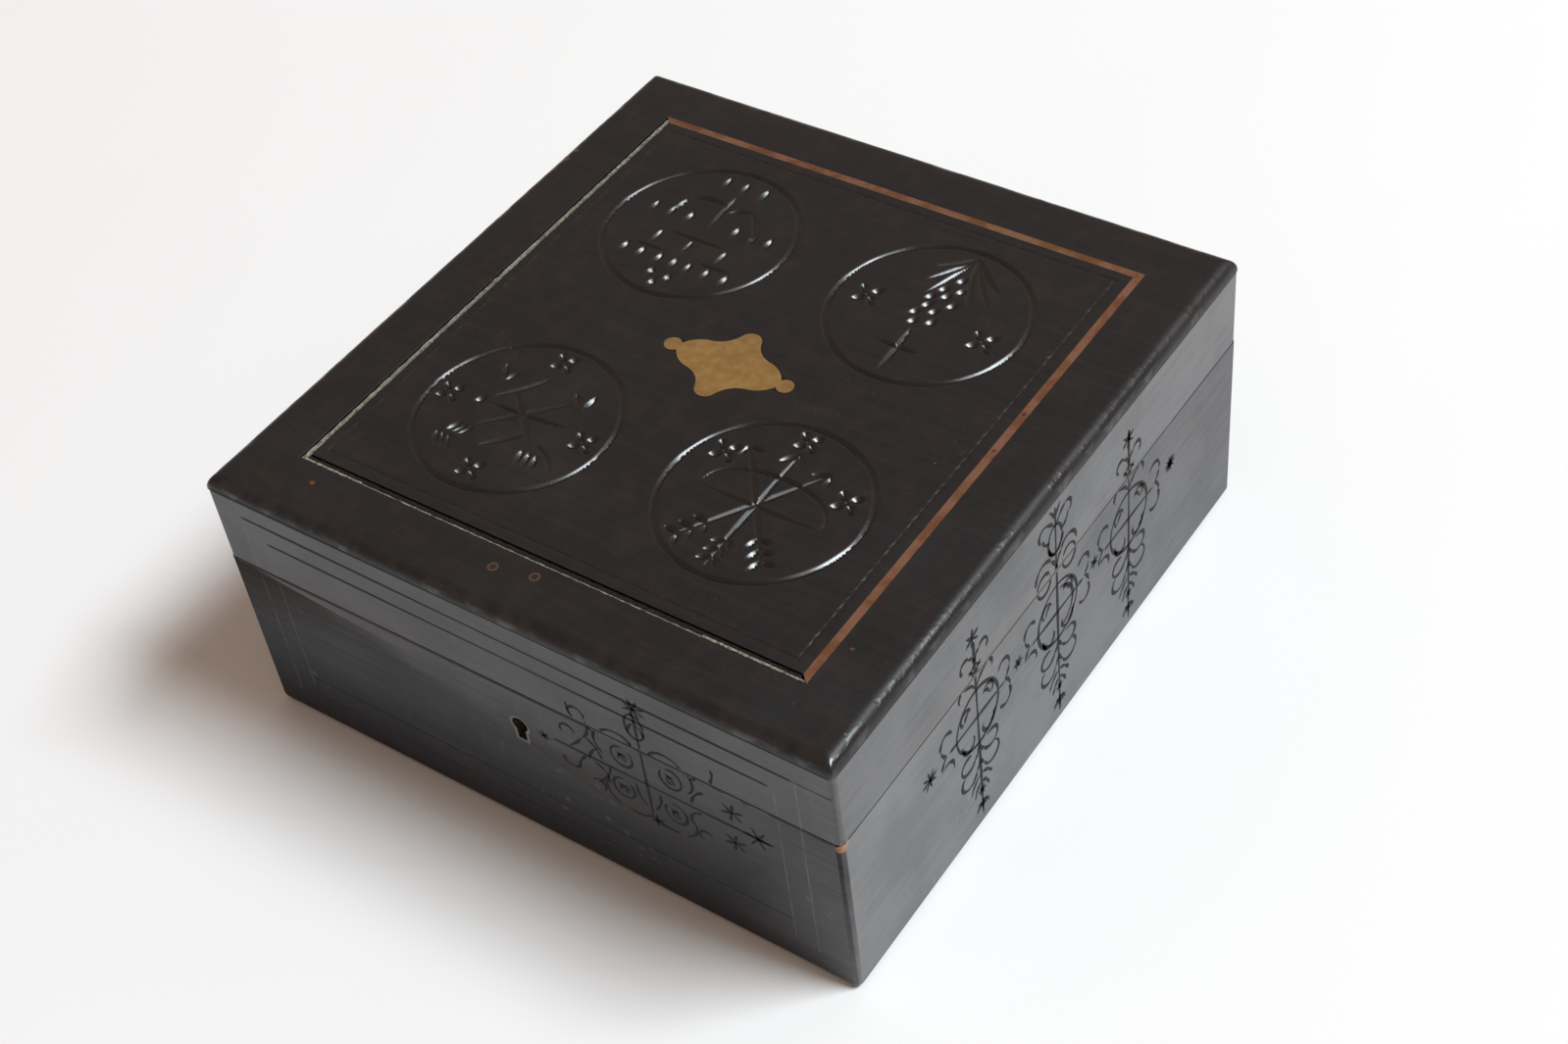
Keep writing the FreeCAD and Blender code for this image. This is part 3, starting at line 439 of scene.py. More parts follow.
def wood_figure(place, scale):
    """Long streaks, broad bands and short open pores along the coordinate's second axis."""
    offset = add("CombineXYZ", noise(place, 9.0, 2.0) * 0.006)[0]
    warped = vector_maths("MULTIPLY_ADD", place, (1, 1, 1), offset)[0]
    streak = noise(warped, scale * 900.0, 4.0, 0.62, (1.0, 0.035, 1.0))
    band = noise(warped, scale * 70.0, 3.0, 0.5, (1.0, 0.16, 1.0))
    fine = noise(warped, scale * 2600.0, 1.0, 0.5, (1.0, 0.05, 1.0))
    return {"Streak": streak, "Band": band, "Pore": ramp(fine, 0.62, 0.72)}


def age_marks(place, amount):
    """Hair scratches, small dents and dusty patches, each from 0 to 1."""
    lines = []
    for turn, stretch in ((0.5, (1.0, 0.02, 0.3)), (2.1, (0.03, 1.0, 0.3))):
        rotated = add("VectorRotate", settings={"rotation_type": "Z_AXIS"}, Vector=place, Angle=turn)[0]
        lines.append(ramp(noise(rotated, 420.0, 2.0, 0.5, stretch), 0.66, 0.72))
    cells = add("TexVoronoi", settings={"feature": "F1"}, Vector=place, Scale=260.0)["Distance"]
    near = cells - ramp(noise(place, 35.0, 2.0), 0.5, 0.75) * 0.22
    return {
        "Scratch": maths("MAXIMUM", *lines) * amount,
        "Dent": ramp(near, 0.06, -0.02),
        "Patch": ramp(noise(place, 26.0, 5.0, 0.6), 0.5, 0.72),
    }


def box_edges(place, half, top, width):
    """Closeness to the upright edges and to the level edges at one height of a box round the origin."""
    x, y, z = split(place)
    half_x, half_y, _ = split(half)
    gap_x = half_x - maths("ABSOLUTE", x)
    gap_y = half_y - maths("ABSOLUTE", y)
    gap_z = maths("ABSOLUTE", top - z)
    upright = maths("MAXIMUM", gap_x, gap_y)
    level = maths("MAXIMUM", maths("MINIMUM", gap_x, gap_y), gap_z)
    reach = width * ramp(noise(place, 160.0, 3.0), 0.3, 0.8, 0.1, 2.0)
    return {"Edge": ramp(maths("MINIMUM", upright, level) / reach, 1.0, 0.2)}


def scribed_line(across, along, at, start, end, width):
    """One straight scribed line: 1 at its middle, 0 half a width away or past its two ends."""
    near = ramp(maths("ABSOLUTE", across - at) / (width * 0.5), 1.0, 0.0)
    return {"Line": near * (maths("GREATER_THAN", along, start) * maths("LESS_THAN", along, end))}


SHADER_GROUPS = (
    ("wood_figure", {"Vector": None, "Scale": 1.0}, wood_figure),
    ("age_marks", {"Vector": None, "Amount": 1.0}, age_marks),
    ("box_edges", {"Vector": None, "Half": None, "Top": 0.07, "Width": 0.002}, box_edges),
    ("scribed_line", {"Across": 0.0, "Along": 0.0, "At": 0.0, "Start": 0.0, "End": 1.0, "Width": 0.0008},
     scribed_line),
)


# Materials

ALONG_X = (0.0, 0.0, math.pi / 2)
ALONG_Y = (0.0, 0.0, 0.0)
# height in metres that keeps the wear of level edges away from a wall
NO_LEVEL_EDGE = -1.0
# stain on the walls goes this far in from their outer faces, in metres
STAIN_REACH = 0.00695
# the coat changes along X between these places and up the front between these heights, in metres: painted
# sheen that makes the reflections brighter towards the right face and high on the front, and painted shade
# lower on the front
SHEEN_ALONG_X = (0.045, 0.076)
SHEEN_UP_Z = (0.010, 0.046)
# place and reach in metres of two chips at the front right corner, below the lid's joint
CHIPS = ((0.0799, -0.0818, 0.0473, 0.0016), (0.0800, -0.0799, 0.0480, 0.0007))
# place across, start, end and width of upright scribed lines on the front face, in millimetres; their pale
# colour is a painted highlight on the lit lip of each line
PALE_LINES = (
    (65.2, 9.0, 57.0, 0.6),
    (70.7, 7.0, 62.0, 0.7),
    (-66.2, 12.0, 57.0, 0.5),
    (-71.4, 9.0, 62.5, 0.5),
)
# place on the lid, reach in millimetres and colour of small flaws in the stain
LID_SPECKS = (
    (-57.4, -71.6, 0.6, (0.16, 0.045, 0.020)),
    (67.4, -55.4, 0.45, (0.13, 0.040, 0.020)),
    (54.9, -4.7, 0.45, (0.10, 0.035, 0.020)),
    (-78.4, 46.0, 1.5, (0.10, 0.050, 0.036)),
    (-77.4, 42.5, 0.8, (0.10, 0.050, 0.036)),
    (-78.8, 38.5, 1.7, (0.085, 0.043, 0.032)),
    (-79.2, 26.0, 0.9, (0.09, 0.055, 0.042)),
)


def upright_lines(across, height, lines):
    """The strongest of several upright scribed lines at each place."""
    found = [use_group("scribed_line", Across=across, Along=height, At=at * MM, Start=start * MM,
                       End=end * MM, Width=wide * MM)["Line"] for at, start, end, wide in lines]
    strongest = found[0]
    for line in found[1:]:
        strongest = maths("MAXIMUM", strongest, line)
    return strongest


def ebonised(name, grain, half, sheen, gloss, lines=(), fade=0.0):
    """Black stained wood: brown where the stain is worn, plain brown inside the walls, and any upright
    scribed lines painted pale as a highlight on their lit lips. sheen is the coat's share before and after
    its change along X, and fade is the least share that it has high on the wall; both set painted sheen and
    shade, brighter towards the right face and high on the front."""
    colours = chosen("body")
    finish = Finish(name, Coat_Roughness=0.36, Coat_IOR=1.6, Specular_IOR_Level=gloss)
    place = finish.place
    x, y, z = split(place)
    figure = use_group("wood_figure", Vector=turned(place, grain), Scale=1.0)
    marks = use_group("age_marks", Vector=place, Amount=0.8)
    edge = use_group("box_edges", Vector=place, Half=half, Top=NO_LEVEL_EDGE, Width=0.0011)["Edge"]
    inside = (maths("LESS_THAN", maths("ABSOLUTE", x), half[0] - STAIN_REACH)
              * maths("LESS_THAN", maths("ABSOLUTE", y), half[1] - STAIN_REACH))
    tone = layers(
        colours.black,
        (ramp(figure["Streak"], 0.35, 0.7), (0.0205, 0.0215, 0.0258)),
        (ramp(figure["Band"], 0.45, 0.8, 0.0, 0.55), (0.046, 0.038, 0.037)),
        (edge * 0.35, (0.055, 0.038, 0.030)),
        (marks["Scratch"] * 0.12, (0.11, 0.095, 0.085)),
        (marks["Dent"] * 0.25, (0.15, 0.13, 0.12)),
        (inside, mix(figure["Streak"], colours.inner_wood, (0.15, 0.070, 0.035))),
    )
    worn = noise(place, 900.0, 3.0)
    for *corner, reach in CHIPS:
        chip = maths("LESS_THAN", distance(place, corner), ramp(worn, 0.3, 0.7, 0.6, 1.25) * reach)
        tone = mix(chip, tone, mix(worn, colours.raw_wood, (0.16, 0.055, 0.025)))
    height = figure["Streak"] * 0.30 - figure["Pore"] * 0.5 - marks["Dent"] * 1.2 + noise(place, 60.0, 2.0)
    if lines:
        scribed = upright_lines(x, z, lines)
        height = height - scribed
        # the lines' pale colour, broken by noise, is a painted highlight where their lips catch the light
        painted_lip_highlight = ramp(noise(place, 180.0, 3.0), 0.35, 0.6, 0.15, 0.6)
        tone = mix(scribed * painted_lip_highlight, tone, (0.16, 0.14, 0.125))
    rough = ramp(figure["Streak"], 0.2, 0.8, 0.40, 0.52) + marks["Patch"] * 0.10 - edge * 0.12
    rough = maths("ADD", rough, inside * 0.25, clamp=True)
    # the coat's share follows the place on the box: painted sheen towards the right face and high on the
    # front, painted shade low on the front
    painted_sheen = ramp(x, *SHEEN_ALONG_X, *sheen)
    if fade:
        painted_sheen = maths("MAXIMUM", painted_sheen, ramp(z, *SHEEN_UP_Z, 0.0, fade))
    brushed = noise(place, 40.0, 3.0) + figure["Streak"] * 0.8
    coat = ramp(brushed, 0.7, 1.1, 0.6, 1.0) * painted_sheen * (1.0 - inside)
    return finish.done(tone, rough, height, 0.00006, 0.6, Coat_Weight=coat)


def lid_wood(name):
    """Top board: black over brown grain, glossy where it is cut and darkened there almost to black as painted
    shade, greyer where it is rubbed.
    """
    finish = Finish(name, Coat_Roughness=0.25, Coat_IOR=1.5, Specular_IOR_Level=0.42)
    place = finish.place
    figure = use_group("wood_figure", Vector=turned(place, ALONG_X), Scale=0.8)
    marks = use_group("age_marks", Vector=place, Amount=1.0)
    half = (PANEL_HIGH[0] * MM, PANEL_HIGH[1] * MM, 0.0)
    edge = use_group("box_edges", Vector=place, Half=half, Top=TOP * MM, Width=0.0030)["Edge"]
    # cut is 1 in the carved hollows: there the colour is painted darker as shade, and the finish is glossier
    cut = finish.attribute("cut")
    mottle = ramp(noise(place, 210.0, 4.0, 0.65, (1.0, 0.6, 1.0)), 0.42, 0.75)
    tone = layers(
        (0.0052, 0.0064, 0.0078),
        (ramp(figure["Streak"], 0.40, 0.80, 0.0, 0.22), chosen("lid").lid_brown),
        (ramp(figure["Band"], 0.42, 0.75, 0.0, 0.45), (0.0125, 0.0105, 0.0102)),
        (mottle * 0.45, (0.024, 0.0130, 0.0098)),
        (marks["Patch"] * 0.20, (0.0145, 0.0155, 0.0165)),
        (figure["Pore"] * 0.4, (0.004, 0.003, 0.003)),
        (cut * 0.95, (0.0012, 0.0012, 0.0014)),
    )
    flaw = noise(place, 700.0, 3.0)
    for x, y, reach, colour in LID_SPECKS:
        size = ramp(flaw, 0.3, 0.7, 0.6, 1.4) * (reach * MM)
        spot = ramp(distance(place, (x * MM, y * MM, TOP * MM)) / size, 1.0, 0.6)
        tone = mix(spot * 0.8, tone, colour)
    rough = ramp(figure["Streak"], 0.2, 0.8, 0.42, 0.47) + marks["Patch"] * 0.10 - edge * 0.22
    rough = maths("SUBTRACT", rough, cut * 0.16, clamp=True)
    coat = maths("ADD", maths("ADD", cut * 0.55, edge * 0.7, clamp=True), 0.05, clamp=True)
    knocks = noise(place, 300.0, 3.0, 0.6, (1.0, 0.25, 1.0))
    height = figure["Streak"] * 0.22 - figure["Pore"] * 0.4 - marks["Dent"] * 1.5 + knocks * edge * 3.0
    return finish.done(tone, rough, height, 0.00007, 0.6, Coat_Weight=coat)


def peg_wood(name):
    """Round plugs: a brown ring where the glue has lifted the stain, black in the middle."""
    finish = Finish(name)
    place = finish.place
    fibre = noise(place, 1500.0, 3.0)
    low, high = span_mm("lid_pegs")
    radius = 1.2
    middles = ((low[0] + radius, low[1] + radius), (high[0] - radius, high[1] - radius))
    nearest = maths("MINIMUM", *(distance(place, (x * MM, y * MM, TOP * MM)) for x, y in middles))
    tone = mix(ramp(nearest, 0.6 * MM, 0.95 * MM), mix(fibre, (0.006, 0.005, 0.005), (0.02, 0.012, 0.009)),
               mix(fibre, (0.10, 0.045, 0.022), (0.045, 0.024, 0.015)))
    return finish.done(tone, ramp(fibre, 0.2, 0.8, 0.45, 0.65), fibre, 0.00005, 0.6)


def plain_wood(name, light, dark, scale, rough):
    """Unstained wood with visible figure."""
    finish = Finish(name)
    figure = use_group("wood_figure", Vector=finish.place, Scale=scale)
    marks = use_group("age_marks", Vector=finish.place, Amount=0.6)
    tone = layers(
        light,
        (figure["Streak"], dark),
        (ramp(figure["Band"], 0.4, 0.75, 0.0, 0.5), shade(dark, 0.6)),
        (marks["Patch"] * 0.2, (0.10, 0.06, 0.035)),
        (figure["Pore"] * 0.5, (0.05, 0.025, 0.012)),
    )
    level = ramp(figure["Streak"], 0.2, 0.8, rough, rough + 0.15)
    return finish.done(tone, level, figure["Streak"] - figure["Pore"], 0.00006, 0.7)


def metal(name, bright, dull, rough, amount, patch=None):
    """Old metal: bright where it is rubbed and dull by an amount in patches, with fine brushing. patch is
    another colour of the bright metal that shows in broad places."""
    finish = Finish(name)
    place = finish.place
    marks = use_group("age_marks", Vector=place, Amount=1.0)
    fine = noise(place, 3200.0, 2.0, 0.5, (1.0, 0.08, 1.0))
    tarnish = ramp(noise(place, 130.0, 5.0, 0.65), 0.32, 0.72)
    if patch is not None:
        bright = mix(ramp(noise(place, 16.0, 2.0), 0.52, 0.64), bright, patch)
    tone = layers(bright, (tarnish * amount, dull), (marks["Dent"] * 0.6, shade(dull, 0.3)))
    level = ramp(tarnish, 0.0, 1.0, rough, rough + 0.25) + fine * 0.1 - marks["Scratch"] * 0.1
    polish = ramp(tarnish, 0.0, 1.0, 1.0, 1.0 - 0.7 * amount)
    return finish.done(tone, level, fine * 0.4 + tarnish, 0.00003, 0.5, Metallic=polish)


def worn_plate(name):
    """Brass rubbed to a matt ochre, with darker grime towards its rim."""
    finish = Finish(name, Metallic=0.35)
    place = finish.place
    mottle = noise(place, 420.0, 4.0, 0.6)
    low, high = span_mm("inlay_plate")
    # the plate is longer than it is deep, so depths are stretched to make its rim about round
    stretch = 1.45
    middle = ((low[0] + high[0]) / 2 * MM, (low[1] + high[1]) * (stretch / 2) * MM, 0.0)
    away = distance(vector_maths("MULTIPLY", place, (1.0, stretch, 0.0))[0], middle)
    tone = layers(
        (0.250, 0.134, 0.036),
        (ramp(mottle, 0.3, 0.7), (0.305, 0.178, 0.060)),
        (ramp(noise(place, 95.0, 3.0), 0.50, 0.72, 0.0, 0.35), (0.15, 0.078, 0.026)),
        (ramp(away, 0.010, 0.018, 0.0, 0.45), (0.16, 0.088, 0.035)),
    )
    return finish.done(tone, ramp(mottle, 0.2, 0.8, 0.50, 0.62), mottle, 0.00004, 0.6)


def chalky(name, pale):
    """Old filler in the empty grooves: pale, grey and brown crumbs."""
    finish = Finish(name, Specular_IOR_Level=0.2)
    crumbs = noise(finish.place, 1400.0, 4.0, 0.7)
    runs = noise(finish.place, 90.0, 3.0)
    tone = layers(shade(pale, 0.25), (ramp(crumbs, 0.35, 0.65), pale),
                  (ramp(runs, 0.45, 0.7, 0.0, 0.7), shade(pale, 0.5)))
    return finish.done(tone, ramp(crumbs, 0.0, 1.0, 0.75, 0.95), crumbs, 0.0002, 0.8)


def painted_black(name):
    """Thin black paint of the scrollwork, matt beside the satin stain."""
    finish = Finish(name, Specular_IOR_Level=0.22)
    body = noise(finish.place, 700.0, 3.0)
    tone = mix(ramp(body, 0.3, 0.75), (0.0032, 0.0032, 0.0040), (0.012, 0.0115, 0.013))
    return finish.done(tone, ramp(body, 0.2, 0.8, 0.50, 0.65), body, 0.00002, 0.5)


def stone(name):
    """Honed slate: blue black with faint veins and a bloom of dried ink in the well."""
    finish = Finish(name, Specular_IOR_Level=0.35)
    place = finish.place
    top = span_mm("ink_stone")[1][2]
    veins = noise(place, 60.0, 6.0, 0.7, (1.0, 0.4, 1.0))
    grit = noise(place, 2400.0, 2.0)
    depth = ramp(split(place)[2], (top - 1.0) * MM, (top - 5.5) * MM)
    tone = layers((0.030, 0.032, 0.038), (ramp(veins, 0.4, 0.7), (0.070, 0.074, 0.082)),
                  (depth * ramp(grit, 0.2, 0.6), (0.008, 0.008, 0.010)))
    rough = ramp(veins, 0.3, 0.8, 0.50, 0.66) - depth * 0.2
    return finish.done(tone, rough, grit + veins, 0.00005, 0.6)


def glazed(name):
    """Pale glaze over clay, pooled and finely crackled, thinner on the edges."""
    glaze = chosen("contents").glaze
    finish = Finish(name, Coat_Roughness=0.04, Specular_IOR_Level=0.5)
    place = finish.place
    pool = noise(place, 90.0, 3.0)
    cells = add("TexVoronoi", settings={"feature": "DISTANCE_TO_EDGE"}, Vector=place, Scale=330.0)
    lines = ramp(cells["Distance"], 0.035, 0.0)
    tone = layers(glaze, (ramp(pool, 0.35, 0.7), shade(glaze, 0.78)), (lines * 0.35, (0.20, 0.17, 0.12)))
    return finish.done(tone, ramp(pool, 0.2, 0.8, 0.10, 0.18), pool - lines * 0.2, 0.0001, 0.3,
                       Coat_Weight=ramp(pool, 0.2, 0.8, 0.9, 0.7))


def pressed_ink(name):
    """Black ink stick, matt with rubbed shiny places."""
    finish = Finish(name)
    rub = noise(finish.place, 120.0, 4.0)
    pits = noise(finish.place, 1900.0, 2.0)
    tone = mix(ramp(rub, 0.35, 0.7), (0.010, 0.010, 0.012), (0.022, 0.021, 0.024))
    return finish.done(tone, ramp(rub, 0.3, 0.7, 0.55, 0.30), rub + pits * 0.4, 0.00006, 0.6)


def cane(name):
    """Polished bamboo: fine fibres along the handle and browner rings at the joints."""
    finish = Finish(name, Coat_Roughness=0.2)
    fibre = noise(finish.place, 2800.0, 3.0, 0.6, (1.0, 0.02, 1.0))
    blush = noise(finish.place, 55.0, 4.0, 0.6, (1.0, 0.3, 1.0))
    tone = layers(
        (0.52, 0.34, 0.14),
        (fibre, (0.36, 0.21, 0.08)),
        (ramp(blush, 0.45, 0.75, 0.0, 0.6), (0.30, 0.15, 0.05)),
        (finish.attribute("ring") * 0.8, (0.12, 0.055, 0.02)),
    )
    return finish.done(tone, ramp(blush, 0.3, 0.8, 0.28, 0.42), fibre, 0.00004, 0.5,
                       Coat_Weight=ramp(blush, 0.2, 0.8, 0.5, 0.25))


def bristle(name):
    """Brush hair: fine strands, paler towards the root and stained dark at the tip."""
    hair = chosen("contents").hair
    finish = Finish(name, Specular_IOR_Level=0.3)
    strand = noise(finish.place, 3600.0, 3.0, 0.6, (1.0, 0.02, 1.0))
    stain = ramp(finish.attribute("tip") + strand * 0.25, 0.55, 0.95)
    tone = layers(hair, (ramp(strand, 0.3, 0.7), shade(hair, 1.7)), (stain, (0.025, 0.020, 0.018)))
    return finish.done(tone, ramp(strand, 0.2, 0.8, 0.45, 0.65), strand, 0.00012, 0.8)


def cloth(name):
    """Pale floor cloth with broad soft folds and a fine weave."""
    colour = chosen("stage").floor_colour
    finish = Finish(name, Specular_IOR_Level=0.1)
    folds = noise(finish.place, 3.2, 3.0, 0.5, (1.0, 0.35, 1.0))
    weave = noise(finish.place, 1500.0, 2.0)
    tone = mix(ramp(folds, 0.3, 0.7), colour, shade(colour, 1.02))
    return finish.done(tone, ramp(weave, 0.0, 1.0, 0.85, 0.95), folds + weave * 0.004, 0.01, 0.30)


MATERIALS = {}


def make_materials():
    """All finishes, built once."""
    for name, inputs, work in SHADER_GROUPS:
        make_group(name, inputs, work)
    body_half = (BODY_HIGH[0] * MM, BODY_HIGH[1] * MM, 0.0)
    lid_half = (PANEL_HIGH[0] * MM, PANEL_HIGH[1] * MM, 0.0)
    # the walls and rails are copies of one stain whose coat and gloss differ by face so that some faces
    # reflect brighter than others: lit and shaded copies, painted sheen and shade
    MATERIALS.update({
        "body_front": ebonised("ebonised_front", ALONG_X, body_half, (0.0, 0.6), 0.30, PALE_LINES, 0.55),
        "body_side": ebonised("ebonised_side", ALONG_Y, body_half, (0.8, 1.0), 0.8),
        "body_back": ebonised("ebonised_back", ALONG_X, body_half, (0.6, 0.8), 0.5),
        "rail_front": ebonised("ebonised_lid_front", ALONG_X, lid_half, (0.5, 0.7), 0.46, PALE_LINES),
        "rail_back": ebonised("ebonised_lid_back", ALONG_X, lid_half, (0.3, 0.7), 0.46),
        "rail_side": ebonised("ebonised_lid_side", ALONG_Y, lid_half, (0.8, 1.0), 0.55),
        "lid_top": lid_wood("ebonised_lid_top"),
        "peg": peg_wood("peg_wood"),
        "bottom": plain_wood("bottom_wood", (0.30, 0.17, 0.09), (0.20, 0.10, 0.05), 0.7, 0.6),
        "tray": plain_wood("tray_wood", (0.22, 0.105, 0.055), (0.12, 0.05, 0.027), 1.0, 0.42),
        "brass_plate": worn_plate("inlay_brass"),
        "copper": metal("string_copper", (0.30, 0.145, 0.082), (0.15, 0.072, 0.045), 0.42, 0.75,
                        (0.27, 0.17, 0.065)),
        "brass": metal("brass_fittings", (0.62, 0.44, 0.18), (0.28, 0.19, 0.075), 0.26, 0.6),
        "liner": metal("dark_liner", (0.20, 0.18, 0.15), (0.07, 0.065, 0.06), 0.38, 0.8),
        "steel": metal("steel", (0.46, 0.45, 0.43), (0.16, 0.14, 0.13), 0.28, 0.5),
        "filler": chalky("old_filler", chosen("lid").filler_cream),
        "filler_dark": chalky("dark_filler", (0.020, 0.016, 0.013)),
        "paint": painted_black("scroll_paint"),
        "slate": stone("slate"),
        "glaze": glazed("dropper_glaze"),
        "ink": pressed_ink("ink_black"),
        "bamboo": cane("bamboo"),
        "hair": bristle("brush_hair"),
        "cloth": cloth("floor_cloth"),
    })


NODE_FINISH = {
    "body_side": ["left_wall"],
    "body_back": ["back_wall"],
    "rail_front": ["lid_front_rail"],
    "rail_back": ["lid_back_rail"],
    "rail_side": ["lid_left_rail", "lid_right_rail"],
    "peg": ["lid_pegs"],
    "bottom": ["bottom_board", "tray_ledge_left", "tray_ledge_right"],
    "tray": ["tray_base", "tray_front", "tray_back", "tray_left", "tray_right", "tray_divider_long",
             "tray_divider_cross", "brush_rest_front", "brush_rest_back"],
    "brass_plate": ["inlay_plate"],
    "copper": ["string_back", "string_right"],
    "liner": ["keyhole_liner"],
    "brass": ["lock_back_plate", "lock_cap", "lock_bolt", "link_plate", "hinge_leaf_box_left",
              "hinge_leaf_box_right", "hinge_leaf_lid_left", "hinge_leaf_lid_right", "hinge_pin_left",
              "hinge_pin_right"],
    "steel": ["lock_pin", "lock_spring"],
    "slate": ["ink_stone"],
    "glaze": ["water_dropper"],
    "ink": ["ink_stick"],
}


# Strokes of the carving, as runs of flat points in millimetres and their widths

def bowed(x0, y0, x1, y1, bow=0.0):
    """Path from one point to another, bowed to its left by a distance: a parabola over the chord."""
    t = np.linspace(0, 1, 9)[:, None]
    start, end = np.array([x0, y0], float), np.array([x1, y1], float)
    left = np.array([start[1] - end[1], end[0] - start[0]])
    left = left / max(np.linalg.norm(left), 1e-9)
    return start + (end - start) * t + left * bow * 4 * t * (1 - t)


def cuts(*rows):
    """Single cuts from rows of start, end, width and, where the cut is bent, its bow."""
    return [(bowed(*row[:4], *row[5:]), row[4]) for row in rows]


def ticks(xs, top, bottom, wide, lean=0.0):
    """Row of short upright cuts."""
    return cuts(*((x - lean, top, x + lean, bottom, wide) for x in xs))


def pellets(places, turn=60.0):
    """Short fat cuts that lean by an angle."""
    wide, half = 1.3, 1.45
    dx, dy = math.cos(math.radians(turn)) * half, math.sin(math.radians(turn)) * half
    return cuts(*((x - dx, y - dy, x + dx, y + dy, wide) for x, y in places))


def flower(x, y, reach):
    """Four short petals that point away from a small middle cut."""
    middle, strokes = np.array([x, y]), cuts((x - 0.45, y, x + 0.45, y, 0.8))
    for turn in (45.0, 135.0, 225.0, 315.0):
        way = np.array([math.cos(math.radians(turn)), math.sin(math.radians(turn))])
        strokes += cuts((*(middle + way * 0.9), *(middle + way * reach), 1.4, 0.25))
    return strokes


def roundel_back_left():
    """Rows of upright cuts round a middle post, under an arched branch."""
    return [
        *ticks((-4.9, 0.2, 5.6), 20.2, 15.6, 1.2),
        *ticks((-15.4, -10.6, -5.6, 7.3, 12.3, 16.4), 5.6, 1.2, 1.2),
        *ticks((-8.5, 0.4, 9.5), -3.0, -8.2, 1.0),
        *ticks((-13.1, -8.5, -3.4, 0.7, 4.8, 9.7, 14.6), -9.9, -14.0, 1.2),
        *pellets(((-2.2, -16.4), (2.6, -16.8), (0.2, -19.6)), 80.0),
        *cuts((0.2, 14.6, 0.6, 2.2, 1.0), (0.2, 10.6, -9.7, 9.2, 0.95, -1.2), (-9.7, 9.2, -10.5, 3.6, 1.1),
              (1.8, 8.6, 7.2, 10.9, 0.95, 0.9), (7.2, 10.9, 12.2, 2.4, 0.95, 0.8),
              (-8.0, -2.7, 8.8, -2.7, 0.8), (-12.2, -9.3, -3.9, -9.3, 0.8), (5.6, -9.3, 14.6, -9.3, 0.8)),
    ]


def roundel_back_right():
    """Pine-like spray: rays from a tip, a seeded stem with a cross bar, two flowers."""
    rays = ((-6.9, 14.7, 0.5), (-6.6, 9.8, 0.5), (-4.4, 5.8, 0.4), (6.9, 4.6, -0.4), (10.4, 12.5, -0.5),
            (10.2, 7.7, -0.5))
    seeds = ((0.9, 12.5), (-1.3, 8.5), (2.7, 9.3), (0.5, 6.5), (3.3, 4.2), (-2.7, 5.1), (-1.9, 2.4),
             (0.7, 0.9), (-3.2, -0.7), (-1.9, -3.6), (2.0, -2.4))
    return [
        *cuts(*((0.4, 21.0, x, y, 1.0, bow) for x, y, bow in rays)),
        *pellets(seeds),
        *cuts((-0.9, -5.9, -0.3, -20.3, 1.15, 0.3), (-5.3, -12.3, 4.5, -12.3, 0.85)),
        *flower(-15.3, -0.6, 3.7),
        *flower(15.2, -2.7, 3.7),
    ]


def roundel_front_left():
    """Crossed staves with barbs and feathers between four flowers."""
    strokes = [
        *cuts((-0.6, 13.1, -8.8, 2.7, 1.0, 0.5), (-8.8, 0.8, 11.6, 2.1, 0.8, -0.4),
              (8.4, 8.7, -7.0, -6.3, 1.0), (-4.8, 5.8, 7.3, -5.3, 1.0), (-2.2, -11.0, 5.2, -3.8, 1.0),
              (8.6, -5.0, 16.7, -10.4, 0.8, 0.9), (-12.6, 12.6, -10.0, 7.6, 1.15),
              (-8.2, 11.2, -10.0, 7.6, 1.15), (7.0, 11.8, 10.4, 8.4, 1.15), (11.6, 13.2, 11.4, 8.3, 1.15)),
        *ticks((-7.4, -8.9, -10.4), -6.8, -10.6, 1.15, -0.9),
        *ticks((-8.6, -10.2, -11.8), -11.4, -15.2, 1.15, 1.1),
        *ticks((8.0, 9.9, 11.8), -7.6, -11.6, 1.15, 0.6),
        *pellets(((-10.6, 0.6),)),
    ]
    for x, y in ((-1.2, 18.4), (-18.2, -0.6), (17.6, 0.2), (1.0, -17.4)):
        strokes += flower(x, y, 3.2)
    return strokes


